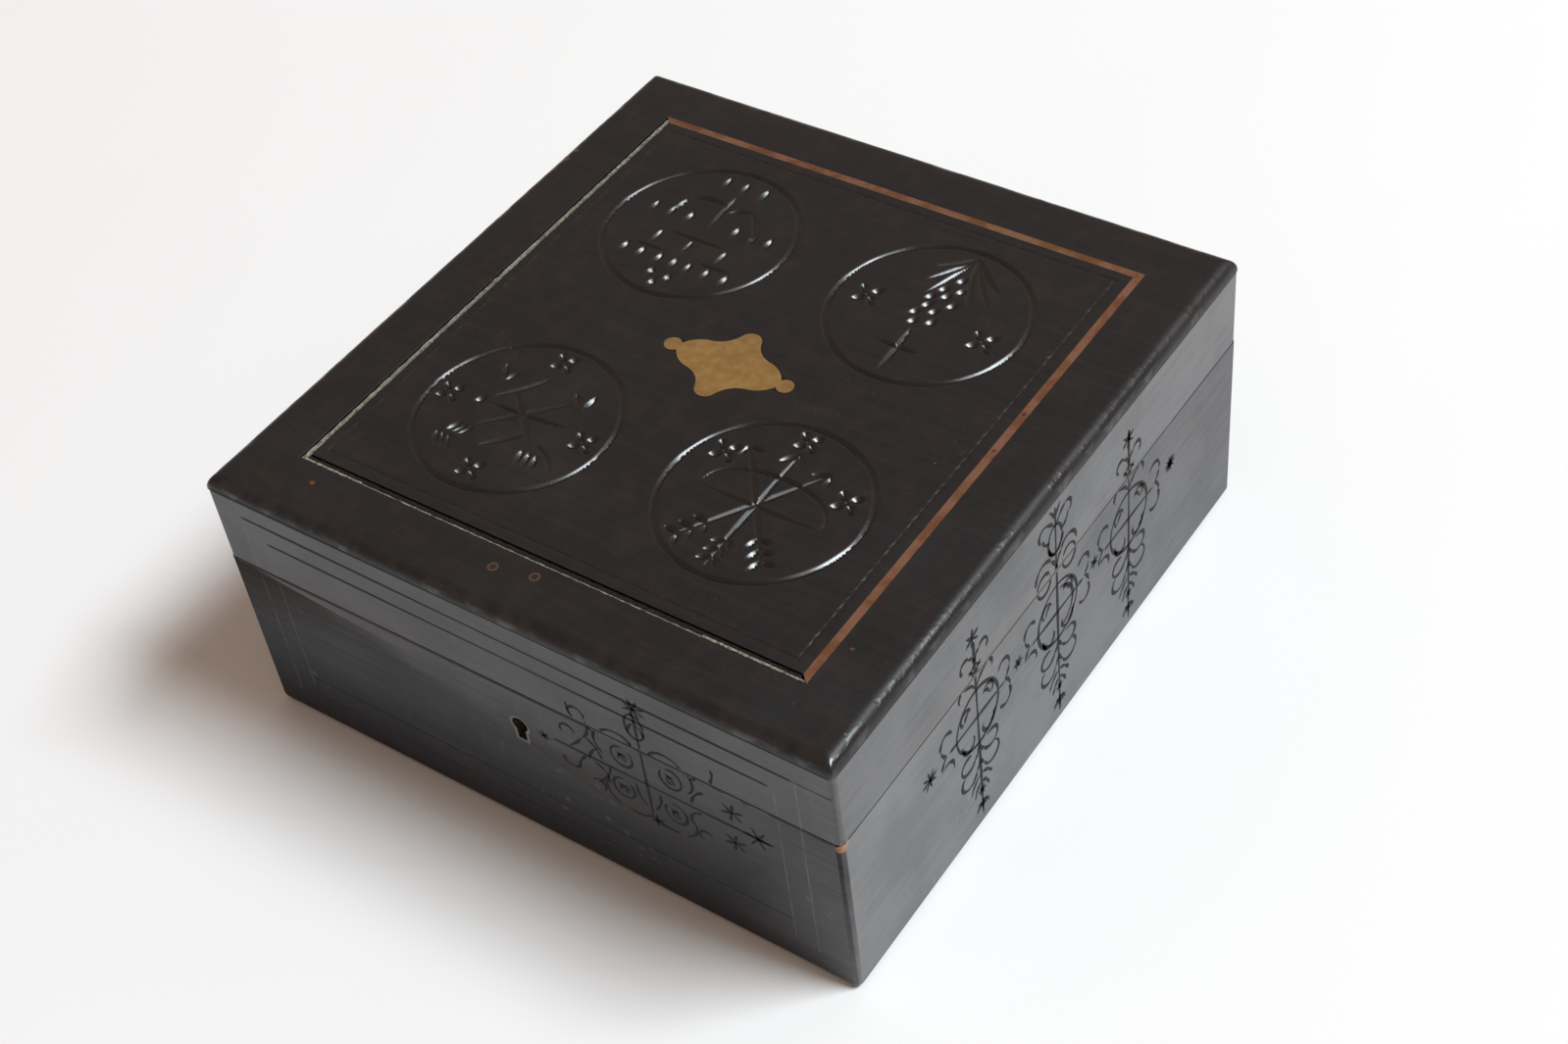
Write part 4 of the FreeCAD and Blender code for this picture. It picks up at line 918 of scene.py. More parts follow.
def roundel_front_right():
    """Bow with three arrows and three flowers."""
    t = np.linspace(0, np.pi, 25)
    strokes = [
        (np.stack([14.9 * np.cos(t), -2.0 + 9.3 * np.sin(t) ** 0.8], -1), 0.85),
        *cuts((-15.0, -2.1, 14.8, -2.1, 0.75), (-0.9, 14.4, -0.4, -20.4, 1.05), (-3.8, 11.0, -0.9, 14.6, 1.1),
              (1.6, 11.0, -0.8, 14.6, 1.1), (8.4, 12.7, -11.2, -17.0, 1.05), (4.4, 11.0, 8.3, 12.7, 1.1),
              (9.0, 8.8, 8.4, 12.6, 1.1), (-11.8, 12.2, 9.9, -15.4, 0.85), (-12.2, 8.4, -11.8, 12.2, 1.0),
              (-7.8, 11.8, -11.7, 12.2, 1.0)),
    ]
    for y in (-12.6, -15.2, -17.8):
        strokes += cuts((-3.2, y - 1.8, -0.5, y, 1.1), (2.2, y - 1.8, -0.3, y, 1.1))
    for share in (0.78, 0.87, 0.96):
        x, y = 8.4 - 19.6 * share, 12.7 - 29.7 * share
        strokes += cuts((x - 3.4, y + 0.4, x, y, 1.1), (x + 1.2, y - 3.4, x, y, 1.1))
        x, y = -11.8 + 21.7 * share, 12.2 - 27.6 * share
        strokes += cuts((x + 3.4, y + 0.2, x, y, 1.1), (x - 0.9, y - 3.5, x, y, 1.1))
    return strokes + flower(-1.2, 18.6, 3.2) + flower(-15.4, 8.4, 3.5) + flower(15.4, 7.6, 3.5)


ROUNDELS = (
    (-32.0, 34.4, roundel_back_left),
    (29.3, 34.4, roundel_back_right),
    (-31.1, -34.7, roundel_front_left),
    (29.9, -30.5, roundel_front_right),
)
# gouge cuts are this much wider than the line they follow, and their flanks fall this steeply
GOUGE = 1.7
FLANK = 0.66
# corners of the scribed line inside the inlay, its half width and the fall of its flanks
SCRIBED = np.array([[-60.7, -62.4], [59.8, 62.6]])
SCRIBED_HALF = 0.42
SCRIBED_FLANK = 0.42
# the board dips this far under the brass plate, over this slope outside its outline
PLATE_DIP = 0.5
PLATE_MARGIN, PLATE_SLOPE = 0.12, 0.45
# half the size of a rectangle that holds the plate
PLATE_HALF = (19, 14)


def outline_of_plate():
    """The brass plate's outline, its top points in order round the middle."""
    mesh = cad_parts["inlay_plate"].data
    points = np.array([vertex.co for vertex in mesh.vertices]) / MM
    rim = np.unique(np.round(points[points[:, 2] > TOP - 0.01][:, :2], 4), axis=0)
    middle = (rim.min(0) + rim.max(0)) / 2
    angle = np.arctan2(rim[:, 1] - middle[1], rim[:, 0] - middle[0])
    return rim[np.argsort(angle)], middle


def along_edge(start, end, x, y):
    """Share from 0 to 1 of the nearest place on a straight edge, and the distance to it."""
    (x0, y0), (x1, y1) = start, end
    dx, dy = x1 - x0, y1 - y0
    t = np.clip(((x - x0) * dx + (y - y0) * dy) / max(dx * dx + dy * dy, 1e-12), 0, 1)
    return t, np.hypot(x - x0 - t * dx, y - y0 - t * dy)


def depth_inside(outline, x, y):
    """How far points lie inside a closed outline; negative outside. A point is inside where a line from it
    crosses the outline an odd number of times."""
    best = np.full(x.shape, 1e9)
    inside = np.zeros(x.shape, bool)
    for start, end in zip(outline, np.roll(outline, -1, axis=0)):
        best = np.minimum(best, along_edge(start, end, x, y)[1])
        (x0, y0), (x1, y1) = start, end
        if y0 != y1:
            inside ^= ((y0 > y) != (y1 > y)) & (x < (x1 - x0) * (y - y0) / (y1 - y0) + x0)
    return np.where(inside, best, -best)


def stroke_depth(path, wide, x, y):
    """Depth of one gouge cut with two flat flanks and pointed ends: FLANK * (half * share - distance),
    where share = sin(pi t) ** 0.45 and t runs along the cut from 0 to 1."""
    lengths = np.linalg.norm(np.diff(path, axis=0), axis=1)
    begun = np.concatenate([[0], np.cumsum(lengths)])
    best = np.zeros(x.shape)
    for index, length in enumerate(lengths):
        t, away = along_edge(path[index], path[index + 1], x, y)
        share = np.sin(np.pi * np.clip((begun[index] + t * length) / lengths.sum(), 0.02, 0.98)) ** 0.45
        best = np.maximum(best, FLANK * (wide / 2 * share - away))
    return best


def carve(x, y, columns, rows):
    """Depth of all cuts over a grid of places, in millimetres."""
    settings = chosen("lid")
    radius, ring = settings.roundel_radius / MM, settings.ring_width / MM
    depth = np.zeros(x.shape)
    for middle_x, middle_y, draw in ROUNDELS:
        turn = np.arctan2(y - middle_y, x - middle_x)
        half = ring / 2 * (1 + 0.08 * np.sin(7 * turn + middle_x) + 0.06 * np.sin(17 * turn))
        away = np.abs(np.hypot(x - middle_x, y - middle_y) - radius - 0.12 * np.sin(3 * turn + middle_y))
        depth = np.maximum(depth, FLANK * (half - away))
        for path, wide in draw():
            path, wide = path + np.array([middle_x, middle_y]), wide * GOUGE
            low, high = path.min(0) - wide, path.max(0) + wide
            i0, i1 = np.searchsorted(columns, (low[0], high[0]))
            j0, j1 = np.searchsorted(rows, (low[1], high[1]))
            if i1 - i0 < 2 or j1 - j0 < 2:
                continue
            part = (slice(j0, j1), slice(i0, i1))
            depth[part] = np.maximum(depth[part], stroke_depth(path, wide, x[part], y[part]))
    (left, front), (right, back) = SCRIBED
    within = (x > left - 0.5) & (x < right + 0.5) & (y > front - 0.5) & (y < back + 0.5)
    beside = np.minimum(np.minimum(np.abs(x - left), np.abs(x - right)),
                        np.minimum(np.abs(y - front), np.abs(y - back)))
    half = SCRIBED_HALF + 0.10 * np.sin(0.9 * x + 0.7 * y) + 0.08 * np.sin(2.3 * (x - y))
    line = np.where(within, SCRIBED_FLANK * (half - beside), 0)
    return np.clip(np.maximum(depth, line), 0, settings.cut_depth / MM)


def carved_tile(name, x_span, y_span):
    """A quarter of the carved field: a height over a grid, with plain sides and underside.
    height = top - cut depth - a shallow dip under the brass plate."""
    pitch = chosen("lid").grid_pitch / MM * 1.0
    columns, rows = (np.linspace(low, high, int(round((high - low) / pitch)) + 1)
                     for low, high in (x_span, y_span))
    x, y = np.meshgrid(columns, rows)
    cut = carve(x, y, columns, rows)
    outline, middle = outline_of_plate()
    near = (np.abs(x - middle[0]) < PLATE_HALF[0]) & (np.abs(y - middle[1]) < PLATE_HALF[1])
    dip = np.zeros(x.shape)
    slope = (depth_inside(outline, x[near], y[near]) + PLATE_MARGIN) / PLATE_SLOPE
    dip[near] = np.clip(slope, 0, 1) * PLATE_DIP
    top = np.stack([x, y, TOP - PROUD - cut - dip], -1).reshape(-1, 3)
    grid = np.arange(x.size).reshape(x.shape)
    edge = np.concatenate([grid[0, :-1], grid[:-1, -1], grid[-1, :0:-1], grid[:0:-1, 0]])
    under = top[edge].copy()
    under[:, 2] = PANEL_LOW[2]
    ring = np.arange(len(edge))
    beside = np.roll(ring, -1)
    walls = np.stack([edge, len(top) + ring, len(top) + beside, edge[beside]], -1)
    floor = (len(top) + ring[::-1])[None, :]
    # the cut mask, 1 where the carving is deep, darkens the cuts as painted shade in the lid's material
    values = {"cut": np.concatenate([np.clip(cut / 0.2, 0, 1).ravel(), np.zeros(len(edge))])}
    return build(name, np.concatenate([top, under]), [grid_quads(*x.shape), walls, floor], values, 40.0)


def rounded_rectangle(left, right, front, back, radius):
    """Points round a rectangle whose corners are arcs, the same number for any size."""
    angle = np.linspace(0, np.pi / 2, 5)
    arcs = []
    for turn, (x, y) in enumerate(((right, back), (left, back), (left, front), (right, front))):
        middle = np.array([x - radius * (1 if x == right else -1), y - radius * (1 if y == back else -1)])
        bent = angle + turn * np.pi / 2
        arcs.append(middle + radius * np.stack([np.cos(bent), np.sin(bent)], -1))
    share = np.linspace(0, 1, 42)[1:-1, None]
    runs = []
    for number in range(4):
        start, end = arcs[number][-1], arcs[(number + 1) % 4][0]
        runs += [arcs[number], start + (end - start) * share]
    return np.concatenate(runs)


def lid_border():
    """Rounded border of the lid with the empty groove inside it: a stack of rectangles, from the groove's
    inner wall out over the rounded edge and back along the underside."""
    round_mm = chosen("lid").top_round / MM
    low, high = PANEL_LOW, PANEL_HIGH
    top = TOP - PROUD
    (left, front), (right, back) = GROOVE
    insets = np.array([left - low[0], high[0] - right, front - low[1], high[1] - back])
    levels = [
        # inset on each side, height and corner radius
        (insets + GROOVE_WIDE, low[2], 0.05),
        (insets + GROOVE_WIDE, GROOVE_FLOOR, 0.05),
        (insets + GROOVE_WIDE / 2, GROOVE_FLOOR - 0.02, 0.05),
        (insets, GROOVE_FLOOR, 0.05),
        (insets, top - 0.05, 0.05),
        (insets - 0.05, top, 0.1),
        *((round_mm + (insets - round_mm) * share, top, 0.3) for share in (0.75, 0.5, 0.25)),
        *((np.full(4, round_mm * (1 - math.sin(angle))), top - round_mm * (1 - math.cos(angle)), 0.8)
          for angle in np.linspace(0, np.pi / 2, 11)),
        (np.full(4, 0.0), low[2] + 0.14, 0.8),
        (np.full(4, 0.16), low[2], 0.8),
    ]
    rings = []
    for (left, right, front, back), height, radius in levels:
        flat = rounded_rectangle(low[0] + left, high[0] - right, low[1] + front, high[1] - back, radius)
        rings.append(np.column_stack([flat, np.full(len(flat), height)]))
    points = np.concatenate(rings)
    faces = grid_quads(len(rings), len(rings[0]), ring_rows=True, ring_columns=True)
    return build("lid_border", points, [faces], {"cut": np.zeros(len(points))}, 30.0)


# Scrollwork, as runs of flat points in millimetres

def star(x, y, reach, arms, turn):
    """Strokes that cross in one place."""
    angles = np.radians(turn + 180 * np.arange(arms) / arms)
    ways = np.stack([np.cos(angles), np.sin(angles)], -1) * reach
    return [bowed(x - way[0], y - way[1], x + way[0], y + way[1]) for way in ways]


def loop(x, y, wide, tall):
    """Closed oval round a middle."""
    t = np.linspace(0, 2 * np.pi, 40)
    return np.stack([x + wide / 2 * np.cos(t), y + tall / 2 * np.sin(t)], -1)


def arc(x, y, reach, start, end, tall=1.0):
    """Part of an oval round a middle, between two angles in degrees."""
    t = np.radians(np.linspace(start, end, 26))
    return np.stack([x + reach * np.cos(t), y + reach * tall * np.sin(t)], -1)


def set_out(x, y, *rows):
    """Paths set out from one place: each row is a bowed line's two ends and its bow, or after the word arc
    the place, reach, angles and height of part of an oval."""
    paths = []
    for row in rows:
        if row[0] == "arc":
            _, across, up, *shape = row
            paths.append(arc(x + across, y + up, *shape))
        else:
            x0, y0, x1, y1, *bow = row
            paths.append(bowed(x + x0, y + y0, x + x1, y + y1, *bow))
    return paths


def mirrored(x, y, *rows):
    """Paths set out from a place, and their mirror images about the upright line through it."""
    paths = set_out(x, y, *rows)
    return paths + [np.stack([2 * x - path[:, 0], path[:, 1]], -1) for path in paths]


def medallion(x, y, up, down):
    """Ring with a cross on a long stem, hooks inside it and two pairs of curls below it."""
    return [
        loop(x, y, 16.4, 16.6), *set_out(x, y, (0, up, 0, -down), (-11.0, 0, 11.0, 0)),
        *star(x, y - 28.6, 1.9, 3, 30), *star(x, y - 24.0, 1.6, 3, 0),
        *mirrored(
            x, y, ("arc", 4.4, 4.0, 1.9, -60, 170), (2.6, 5.2, 5.0, 2.6, 0.5),
            ("arc", 3.9, -5.2, 2.2, 150, 390), (4.4, -6.4, 6.6, -3.6, -0.6),
            ("arc", 4.5, -11.2, 2.7, -170, 120, 0.85), (0.3, -9.0, 2.0, -12.2, -0.4),
            ("arc", 4.5, -16.0, 2.9, -175, 60, 0.9), (0.3, -13.6, 1.7, -16.4, -0.4),
            (0.3, -18.4, 4.2, -22.0, 0.5), (0.3, -21.0, 2.8, -24.6, 0.4), (0.2, -27.6, 2.4, -30.0, 0.4)),
    ]


def plain_top(x, y):
    """Top of an outer medallion: leaves, a pair of hooks and a star."""
    return star(x - 0.3, y + 24.2, 2.7, 3, 25) + mirrored(
        x, y, (0.3, 9.0, 4.6, 12.2, 0.8), ("arc", 4.9, 10.8, 1.6, -40, 130), (0.4, 12.4, 2.4, 15.6, 0.5),
        (2.4, 14.6, 0.3, 16.4, 0.3), (0.3, 16.6, 2.2, 19.4, 0.7), ("arc", 3.5, 18.6, 1.7, -60, 160))


def crowned_top(x, y):
    """Top of the middle medallion: large curls, a leaf shaped loop and a crown of two hooks."""
    return [loop(x - 0.2, y + 22.2, 5.6, 8.0), arc(x, y, 6.4, -70, 80)] + mirrored(
        x, y, ("arc", 5.2, 12.8, 2.7, -200, 150, 1.1), ("arc", 5.0, 15.6, 3.4, -10, 150),
        (0.3, 12.2, 2.2, 17.2, 0.8), (0.3, 18.0, 2.9, 22.0, -0.8), (0.4, 26.0, 4.4, 29.2, 0.5),
        ("arc", 4.7, 27.3, 1.9, -60, 110), (0.3, 28.4, 2.2, 31.4, 0.3), (2.4, 23.0, 5.2, 26.0, -0.7))


def figure_three(x, y, way):
    """Paired hooks one above the other, joined in the middle, open to one side."""
    return set_out(
        x, y, ("arc", 0, 4.5, 2.3, 90 + way * 70, 90 - way * 110, 1.05),
        (way * 2.1, 3.4, way * 0.2, 0.6, way * 0.4), (way * 0.2, 0.6, way * 2.2, -2.8, way * 0.5),
        ("arc", 0, -4.6, 2.3, way * 50 + (180 if way < 0 else 0), -90 - way * 65, 1.05))


def side_scrollwork():
    """Three medallions joined by paired hooks on the right face; flat x is the box's Y and flat y its Z."""
    axis = 35.5
    paths = []
    for x, up, top in ((-32.7, 23.0, plain_top), (0.2, 31.4, crowned_top), (31.5, 26.6, plain_top)):
        paths += medallion(x, axis, up, 32.2) + top(x, axis)
    return [
        *paths,
        *figure_three(-22.0, axis, 1), *figure_three(-11.2, axis, -1), *star(-16.4, axis + 0.3, 1.9, 3, 60),
        *figure_three(11.4, axis, 1), *figure_three(20.2, axis, -1), *star(16.0, axis + 0.6, 2.0, 3, 20),
        *figure_three(-44.6, axis - 0.4, -1), *figure_three(43.2, axis, 1),
        *star(-51.3, axis - 0.4, 2.8, 4, 12), *star(50.6, axis + 0.4, 2.4, 5, 30),
        *star(50.6, axis + 0.4, 1.5, 4, 0),
    ]


def front_scrollwork():
    """Half of a symmetrical ornament right of the keyhole; flat x is the box's X and flat y its Z."""
    axis, stem = 37.9, 32.2
    paths = set_out(0, 0, (8.0, axis - 0.1, 63.4, axis - 0.4), (stem, 60.0, stem, 27.2))
    paths += [loop(stem - 0.3, 55.4, 4.6, 7.6)]
    paths += set_out(stem, 0, (-2.2, 52.6, -0.4, 56.6, 0.5), (1.8, 52.8, 0.4, 56.4, -0.5))
    for x, y, reach, arms, turn in ((stem + 0.5, 61.4, 3.0, 4, 20), (5.6, axis - 0.6, 1.7, 3, 40),
                                    (53.6, 42.2, 3.0, 3, 20), (59.4, axis - 0.4, 3.4, 3, 55),
                                    (53.3, 32.2, 2.9, 3, 20)):
        paths += star(x, y, reach, arms, turn)
    for x, y in ((26.7, 43.2), (38.9, 43.4), (38.7, 32.2), (25.5, 32.4)):
        turn = 60 if x < stem else 120
        paths += set_out(x, y, ("arc", 0, 0, 2.7, turn + 20, turn + 350, 1.12),
                         ("arc", 0.3, -0.4, 1.2, turn - 60, turn + 160), (-1.4, 1.2, 0.9, -1.6, 0.5))
    paths += mirrored(
        stem, 0, ("arc", 6.0, 45.6, 5.0, 20, 150), ("arc", 7.4, 45.0, 4.9, -50, 40),
        (0.4, 47.2, 3.4, 48.8, 0.6), (11.6, 46.2, 16.6, 48.2, 0.7), (16.4, 48.0, 17.8, 53.4, -0.7),
        (15.0, 44.2, 11.2, 38.6, -0.9), (13.6, 36.6, 10.8, 31.4, -1.6), ("arc", 6.6, 30.6, 4.8, -70, 20),
        (0.3, 27.2, 6.6, 26.0, -0.9), ("arc", 13.6, 29.2, 1.7, 20, 240), (3.0, 36.4, 1.0, 30.0, 0.7))
    paths += star(stem + 0.8, 26.3, 2.0, 3, 30)
    return paths + set_out(
        0, 0, ("arc", 16.4, 50.6, 2.0, -20, 200), (18.4, 49.4, 16.6, 43.2, 1.0),
        (16.6, 43.2, 12.6, 38.4, 0.3), ("arc", 12.8, 43.2, 1.9, 0, 220), (16.8, 37.4, 14.0, 32.4, -0.4),
        ("arc", 12.2, 33.6, 2.2, 170, 350), (22.8, 37.6, 18.6, 30.2, 0.9), (20.4, 42.0, 17.4, 37.0, -0.5))


def front_lines():
    """Black strips of paint on the front face, with their widths: painted shade in the scribed lines and in
    the joint under the lid, and the joint of the top board.
    """
    seam, joint = PANEL_LOW[2], BODY_HIGH[2] - 0.4
    return cuts(
        (-71.6, 64.0, 70.2, 62.4, 0.85), (70.2, 62.4, 79.2, 62.3, 0.25), (-65.6, 58.5, 64.1, 57.2, 0.80),
        (-66.0, 15.0, 65.3, 14.8, 0.32), (-71.0, 9.0, 20.0, 9.0, 0.2),
        (-79.2, seam + 0.5, 79.2, seam - 0.1, 0.50), (-79.4, joint, 20.0, joint, 0.5),
        (49.5, joint, 52.5, joint, 0.35), (56.5, joint, 58.5, joint, 0.35), (63.0, joint, 78.0, joint, 0.3))


def side_lines():
    """Joint of the top board on the right face, with its width."""
    return cuts((-81.0, PANEL_LOW[2] + 0.1, 81.0, PANEL_LOW[2] + 0.1, 0.28))


def stroke_list(paths, wide):
    """Paths with half widths that swell a little and end in points."""
    strokes = []
    for number, path in enumerate(paths):
        path = resample(path, 0.22)
        t = np.linspace(0, 1, len(path))
        swell = 0.82 + 0.22 * np.sin(3.1 * np.pi * t + number)
        taper = np.clip(np.minimum(t, 1 - t) * len(path) * 0.25, 0.25, 1)
        strokes.append((path, wide / 2 * swell * taper))
    return strokes


def sunk_copy(name, node, axis, face, depth):
    """Copy of a wall whose outer face lies a paint film's depth lower: points on that face move in."""
    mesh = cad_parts[node].data.copy()
    mesh.name = name
    shell = bmesh.new()
    shell.from_mesh(mesh)
    bmesh.ops.remove_doubles(shell, verts=shell.verts, dist=1e-6)
    shell.to_mesh(mesh)
    shell.free()
    points = np.zeros(len(mesh.vertices) * 3, np.float32)
    mesh.vertices.foreach_get("co", points)
    points = points.reshape(-1, 3)
    on_face = np.abs(points[:, axis] - face) < 2e-6
    points[on_face, axis] -= np.sign(face) * depth
    mesh.vertices.foreach_set("co", points.ravel())
    mesh.update()
    return smooth_object(name, mesh, 30.0)


def on_right(face):
    """Flat points laid on a face that looks along +X."""
    return lambda flat, lift: np.stack([np.full(len(flat), face + lift), flat[:, 0], flat[:, 1]], -1)


def on_front(face):
    """Flat points laid on a face that looks along -Y."""
    return lambda flat, lift: np.stack([flat[:, 0], np.full(len(flat), face - lift), flat[:, 1]], -1)


# Operators

class OBJECT_OT_ink_box_finishes(bpy.types.Operator):
    """Build all finishes and give them to the solids that stay as they are"""
    bl_idname = "object.ink_box_finishes"
    bl_label = "Finishes of the solids"

    def execute(self, context):
        make_materials()
        for finish, nodes in NODE_FINISH.items():
            for node in nodes:
                paint_node(node, finish)
        return {"FINISHED"}


class OBJECT_OT_ink_box_carving(bpy.types.Operator):
    """Carve the lid's field in four tiles and lay its rounded border round them"""
    bl_idname = "object.ink_box_carving"
    bl_label = "Carved lid"

    def execute(self, context):
        middle_x, middle_y = (FIELD[0] + FIELD[1]) / 2
        spans_x = {"left": (FIELD[0, 0], middle_x), "right": (middle_x, FIELD[1, 0])}
        spans_y = {"front": (FIELD[0, 1], middle_y), "back": (middle_y, FIELD[1, 1])}
        for side, x_span in spans_x.items():
            for end, y_span in spans_y.items():
                tile = carved_tile(f"lid_carving_{end}_{side}", x_span, y_span)
                give(tile, "lid", "lid_top")
        give(lid_border(), "lid", "lid_top", ["lid_top_panel"])
        return {"FINISHED"}


class OBJECT_OT_ink_box_filler(bpy.types.Operator):
    """Lay the old filler that is left in the two empty grooves"""
    bl_idname = "object.ink_box_filler"
    bl_label = "Old filler"

    def execute(self, context):
        random = np.random.default_rng(7)

        def run(start, end, wide, ragged=0.0):
            path = resample(np.array([start, end]), 0.5)
            t = np.linspace(0, 1, len(path))
            rough = np.interp(t, np.linspace(0, 1, 90), random.uniform(1 - ragged, 1, 90))
            return path, wide / 2 * rough

        def place(flat, lift):
            height = GROOVE_FLOOR + 0.02 + lift + 0.05 * np.sin(flat[:, 0] * 1.7 + flat[:, 1] * 1.3)
            return np.column_stack([flat, height])

        (left, front), (right, back) = GROOVE
        half, bed_wide = GROOVE_WIDE / 2, GROOVE_WIDE - 0.04
        beds = [run((left + half, front + 0.2), (left + half, back - GROOVE_WIDE - 0.1), bed_wide),
                run((left + 0.1, front + half), (right - GROOVE_WIDE - 0.1, front + half), bed_wide)]
        bed_height, filler_height = 1.0, 1.28
        # between these places along the front groove little of the filler is left
        lost_from, lost_to = -48.0, 40.0
        give(ribbons("groove_bed", beds, bed_height, place), "lid", "filler_dark")
        crumbs = [run((left + 0.9, front + 0.3), (left + 0.9, back - 1.0), 1.25, 0.3),
                  run((left + 0.3, front + 0.45), (lost_from, front + 0.45), 0.8, 0.5),
                  run((lost_from, front + 0.28), (lost_to, front + 0.28), 0.45, 0.7),
                  run((lost_to, front + 0.5), (right - 0.7, front + 0.5), 0.9, 0.5)]
        give(ribbons("groove_filler", crumbs, filler_height, place), "lid", "filler")
        return {"FINISHED"}


class OBJECT_OT_ink_box_scrollwork(bpy.types.Operator):
    """Paint the thin black scrollwork on the front and right faces, and black strips on the front as painted
    shade in its scribed lines and under the lid
    """
    bl_idname = "object.ink_box_scrollwork"
    bl_label = "Painted scrollwork"

    def execute(self, context):
        settings = chosen("body")
        wide, film = settings.scroll_width / MM, settings.paint_film / MM
        # a painted wall sinks by more than the film is thick, so the paint stays inside the box's size
        sunk = 2 * film
        front, right = BODY_LOW[1], BODY_HIGH[0]
        for side, axis, face, finish in (("front", 1, front, "body_front"), ("right", 0, right, "body_side")):
            wall = sunk_copy(f"{side}_wall_painted", f"{side}_wall", axis, face * MM, sunk * MM)
            give(wall, "box", finish, [f"{side}_wall"])
        # the brush was broader on the side, and no stroke runs over the joint or down to the foot
        side_wide, rim_gap, foot, lid_gap = 1.28 * wide, 0.29, 2.6, 0.3
        rim, lid_low = BODY_HIGH[2], LID_LOW_Z
        faces = (
            ("right", side_scrollwork(), side_wide, side_lines(), on_right, right - sunk, PANEL_HIGH[0]),
            ("front", front_scrollwork(), wide, front_lines(), on_front, front + sunk, PANEL_LOW[1]),
        )
        for side, paths, path_wide, lines, place, body_face, lid_face in faces:
            strokes = stroke_list(paths, path_wide)
            # on the front these lines are black paint that stands in for the shade in the scribed grooves and
            # in the joint under the lid
            for path, line_wide in lines:
                strokes += stroke_list([path], line_wide)
            low = ribbons(f"scrollwork_{side}_box", strokes, film, place(body_face),
                          lambda path: (path[:, 1] < rim - rim_gap) & (path[:, 1] > foot))
            give(low, "box", "paint")
            high = ribbons(f"scrollwork_{side}_lid", strokes, film, place(lid_face),
                           lambda path: path[:, 1] > lid_low + lid_gap)
            give(high, "lid", "paint")
        return {"FINISHED"}


# radius of a screw's head, half the width of its slot, and heights of its rim, slot, middle and foot, all in
# millimetres, and how many points go round it
HEAD_RADIUS = 1.25
SLOT_HALF = 0.2
HEAD_RIM, SLOT_FLOOR, HEAD_TOP, HEAD_FOOT = 0.03, 0.02, 0.13, -0.05
HEAD_POINTS = 40


def screw_heads(name, places, axis, way, turn_step):
    """Slotted heads that stand on a face, each turned a step further than the last: a low dome whose height
    is HEAD_TOP - (HEAD_TOP - HEAD_RIM) * (r / HEAD_RADIUS) ** 2, and SLOT_FLOOR where the distance from
    the slot's line is under SLOT_HALF."""
    radius = np.concatenate([np.linspace(0.12, HEAD_RADIUS, 10), [HEAD_RADIUS + 0.02]])
    angle = np.linspace(0, 2 * np.pi, HEAD_POINTS, endpoint=False)
    r, a = np.meshgrid(radius, angle, indexing="ij")
    ring = np.arange(HEAD_POINTS)
    middle = len(radius) * HEAD_POINTS
    rim = middle - HEAD_POINTS
    beside = (ring + 1) % HEAD_POINTS
    parts = [
        grid_quads(len(radius), HEAD_POINTS, ring_columns=True),
        np.stack([ring, beside, np.full(HEAD_POINTS, middle)], -1),
        np.stack([rim + ring, rim + beside, np.full(HEAD_POINTS, middle + 1)], -1),
    ]
    order = {"z": (0, 1, 2), "y": (0, 2, 1)}[axis]
    points, faces = [], []
    for number, place in enumerate(places):
        turn = 0.4 + turn_step * number
        flat_x, flat_y = r * np.cos(a), r * np.sin(a)
        across = np.abs(flat_x * math.sin(turn) - flat_y * math.cos(turn))
        dome = HEAD_TOP - (HEAD_TOP - HEAD_RIM) * (r / HEAD_RADIUS) ** 2
        height = np.where(across < SLOT_HALF, SLOT_FLOOR, dome)
        height[-1] = HEAD_FOOT
        solid = np.stack([flat_x, flat_y, height], -1).reshape(-1, 3)
        solid = np.concatenate([solid, [[0, 0, SLOT_FLOOR], [0, 0, HEAD_FOOT]]])
        placed = np.zeros_like(solid)
        placed[:, order] = solid * (1, 1, way)
        points.append(placed + np.asarray(place))
        faces += [part + number * len(solid) for part in parts]
    return build(name, np.concatenate(points), faces, sharp=25.0)


class OBJECT_OT_ink_box_screws(bpy.types.Operator):
    """Set the slotted screws in the hinges, the lock plate and the link plate"""
    bl_idname = "object.ink_box_screws"
    bl_label = "Screws"

    def execute(self, context):
        def middle(node):
            low, high = span_mm(node)
            return (low + high) / 2

        step, behind = 9.0, 2.9
        hinge = [(middle(f"hinge_leaf_box_{side}")[0] + shift, BODY_HIGH[1] - behind)
                 for side in ("left", "right") for shift in (-step, 0.0, step)]
        low, high = span_mm("lock_back_plate")
        lock = [(x, high[1], z) for x in (low[0] + 2.5, high[0] - 2.5) for z in (high[2] - 5.0, low[2] + 3.5)]
        low, high = span_mm("link_plate")
        link = [(x, middle("link_plate")[1], LID_LOW_Z) for x in (low[0] + 2.5, high[0] - 2.5)]
        for name, body, places, axis, way, turn_step in (
            ("hinge_screws_box", "box", [(*spot, BODY_HIGH[2]) for spot in hinge], "z", 1, 0.7),
            ("hinge_screws_lid", "lid", [(*spot, LID_LOW_Z) for spot in hinge], "z", -1, 0.9),
            ("lock_screws", "box", lock, "y", 1, 1.1),
            ("link_screws", "lid", link, "z", -1, 1.3),
        ):
            give(screw_heads(name, places, axis, way, turn_step), body, "steel")
        return {"FINISHED"}


# the bamboo's joints as shares of the handle's length, half the length of a joint in millimetres, and how far
# the cane pulls in beyond it and at it
JOINT_PLACES = (0.06, 0.33, 0.72)
JOINT_LENGTH = 0.55
JOINT_DIP, JOINT_LINE = 0.14, 0.02
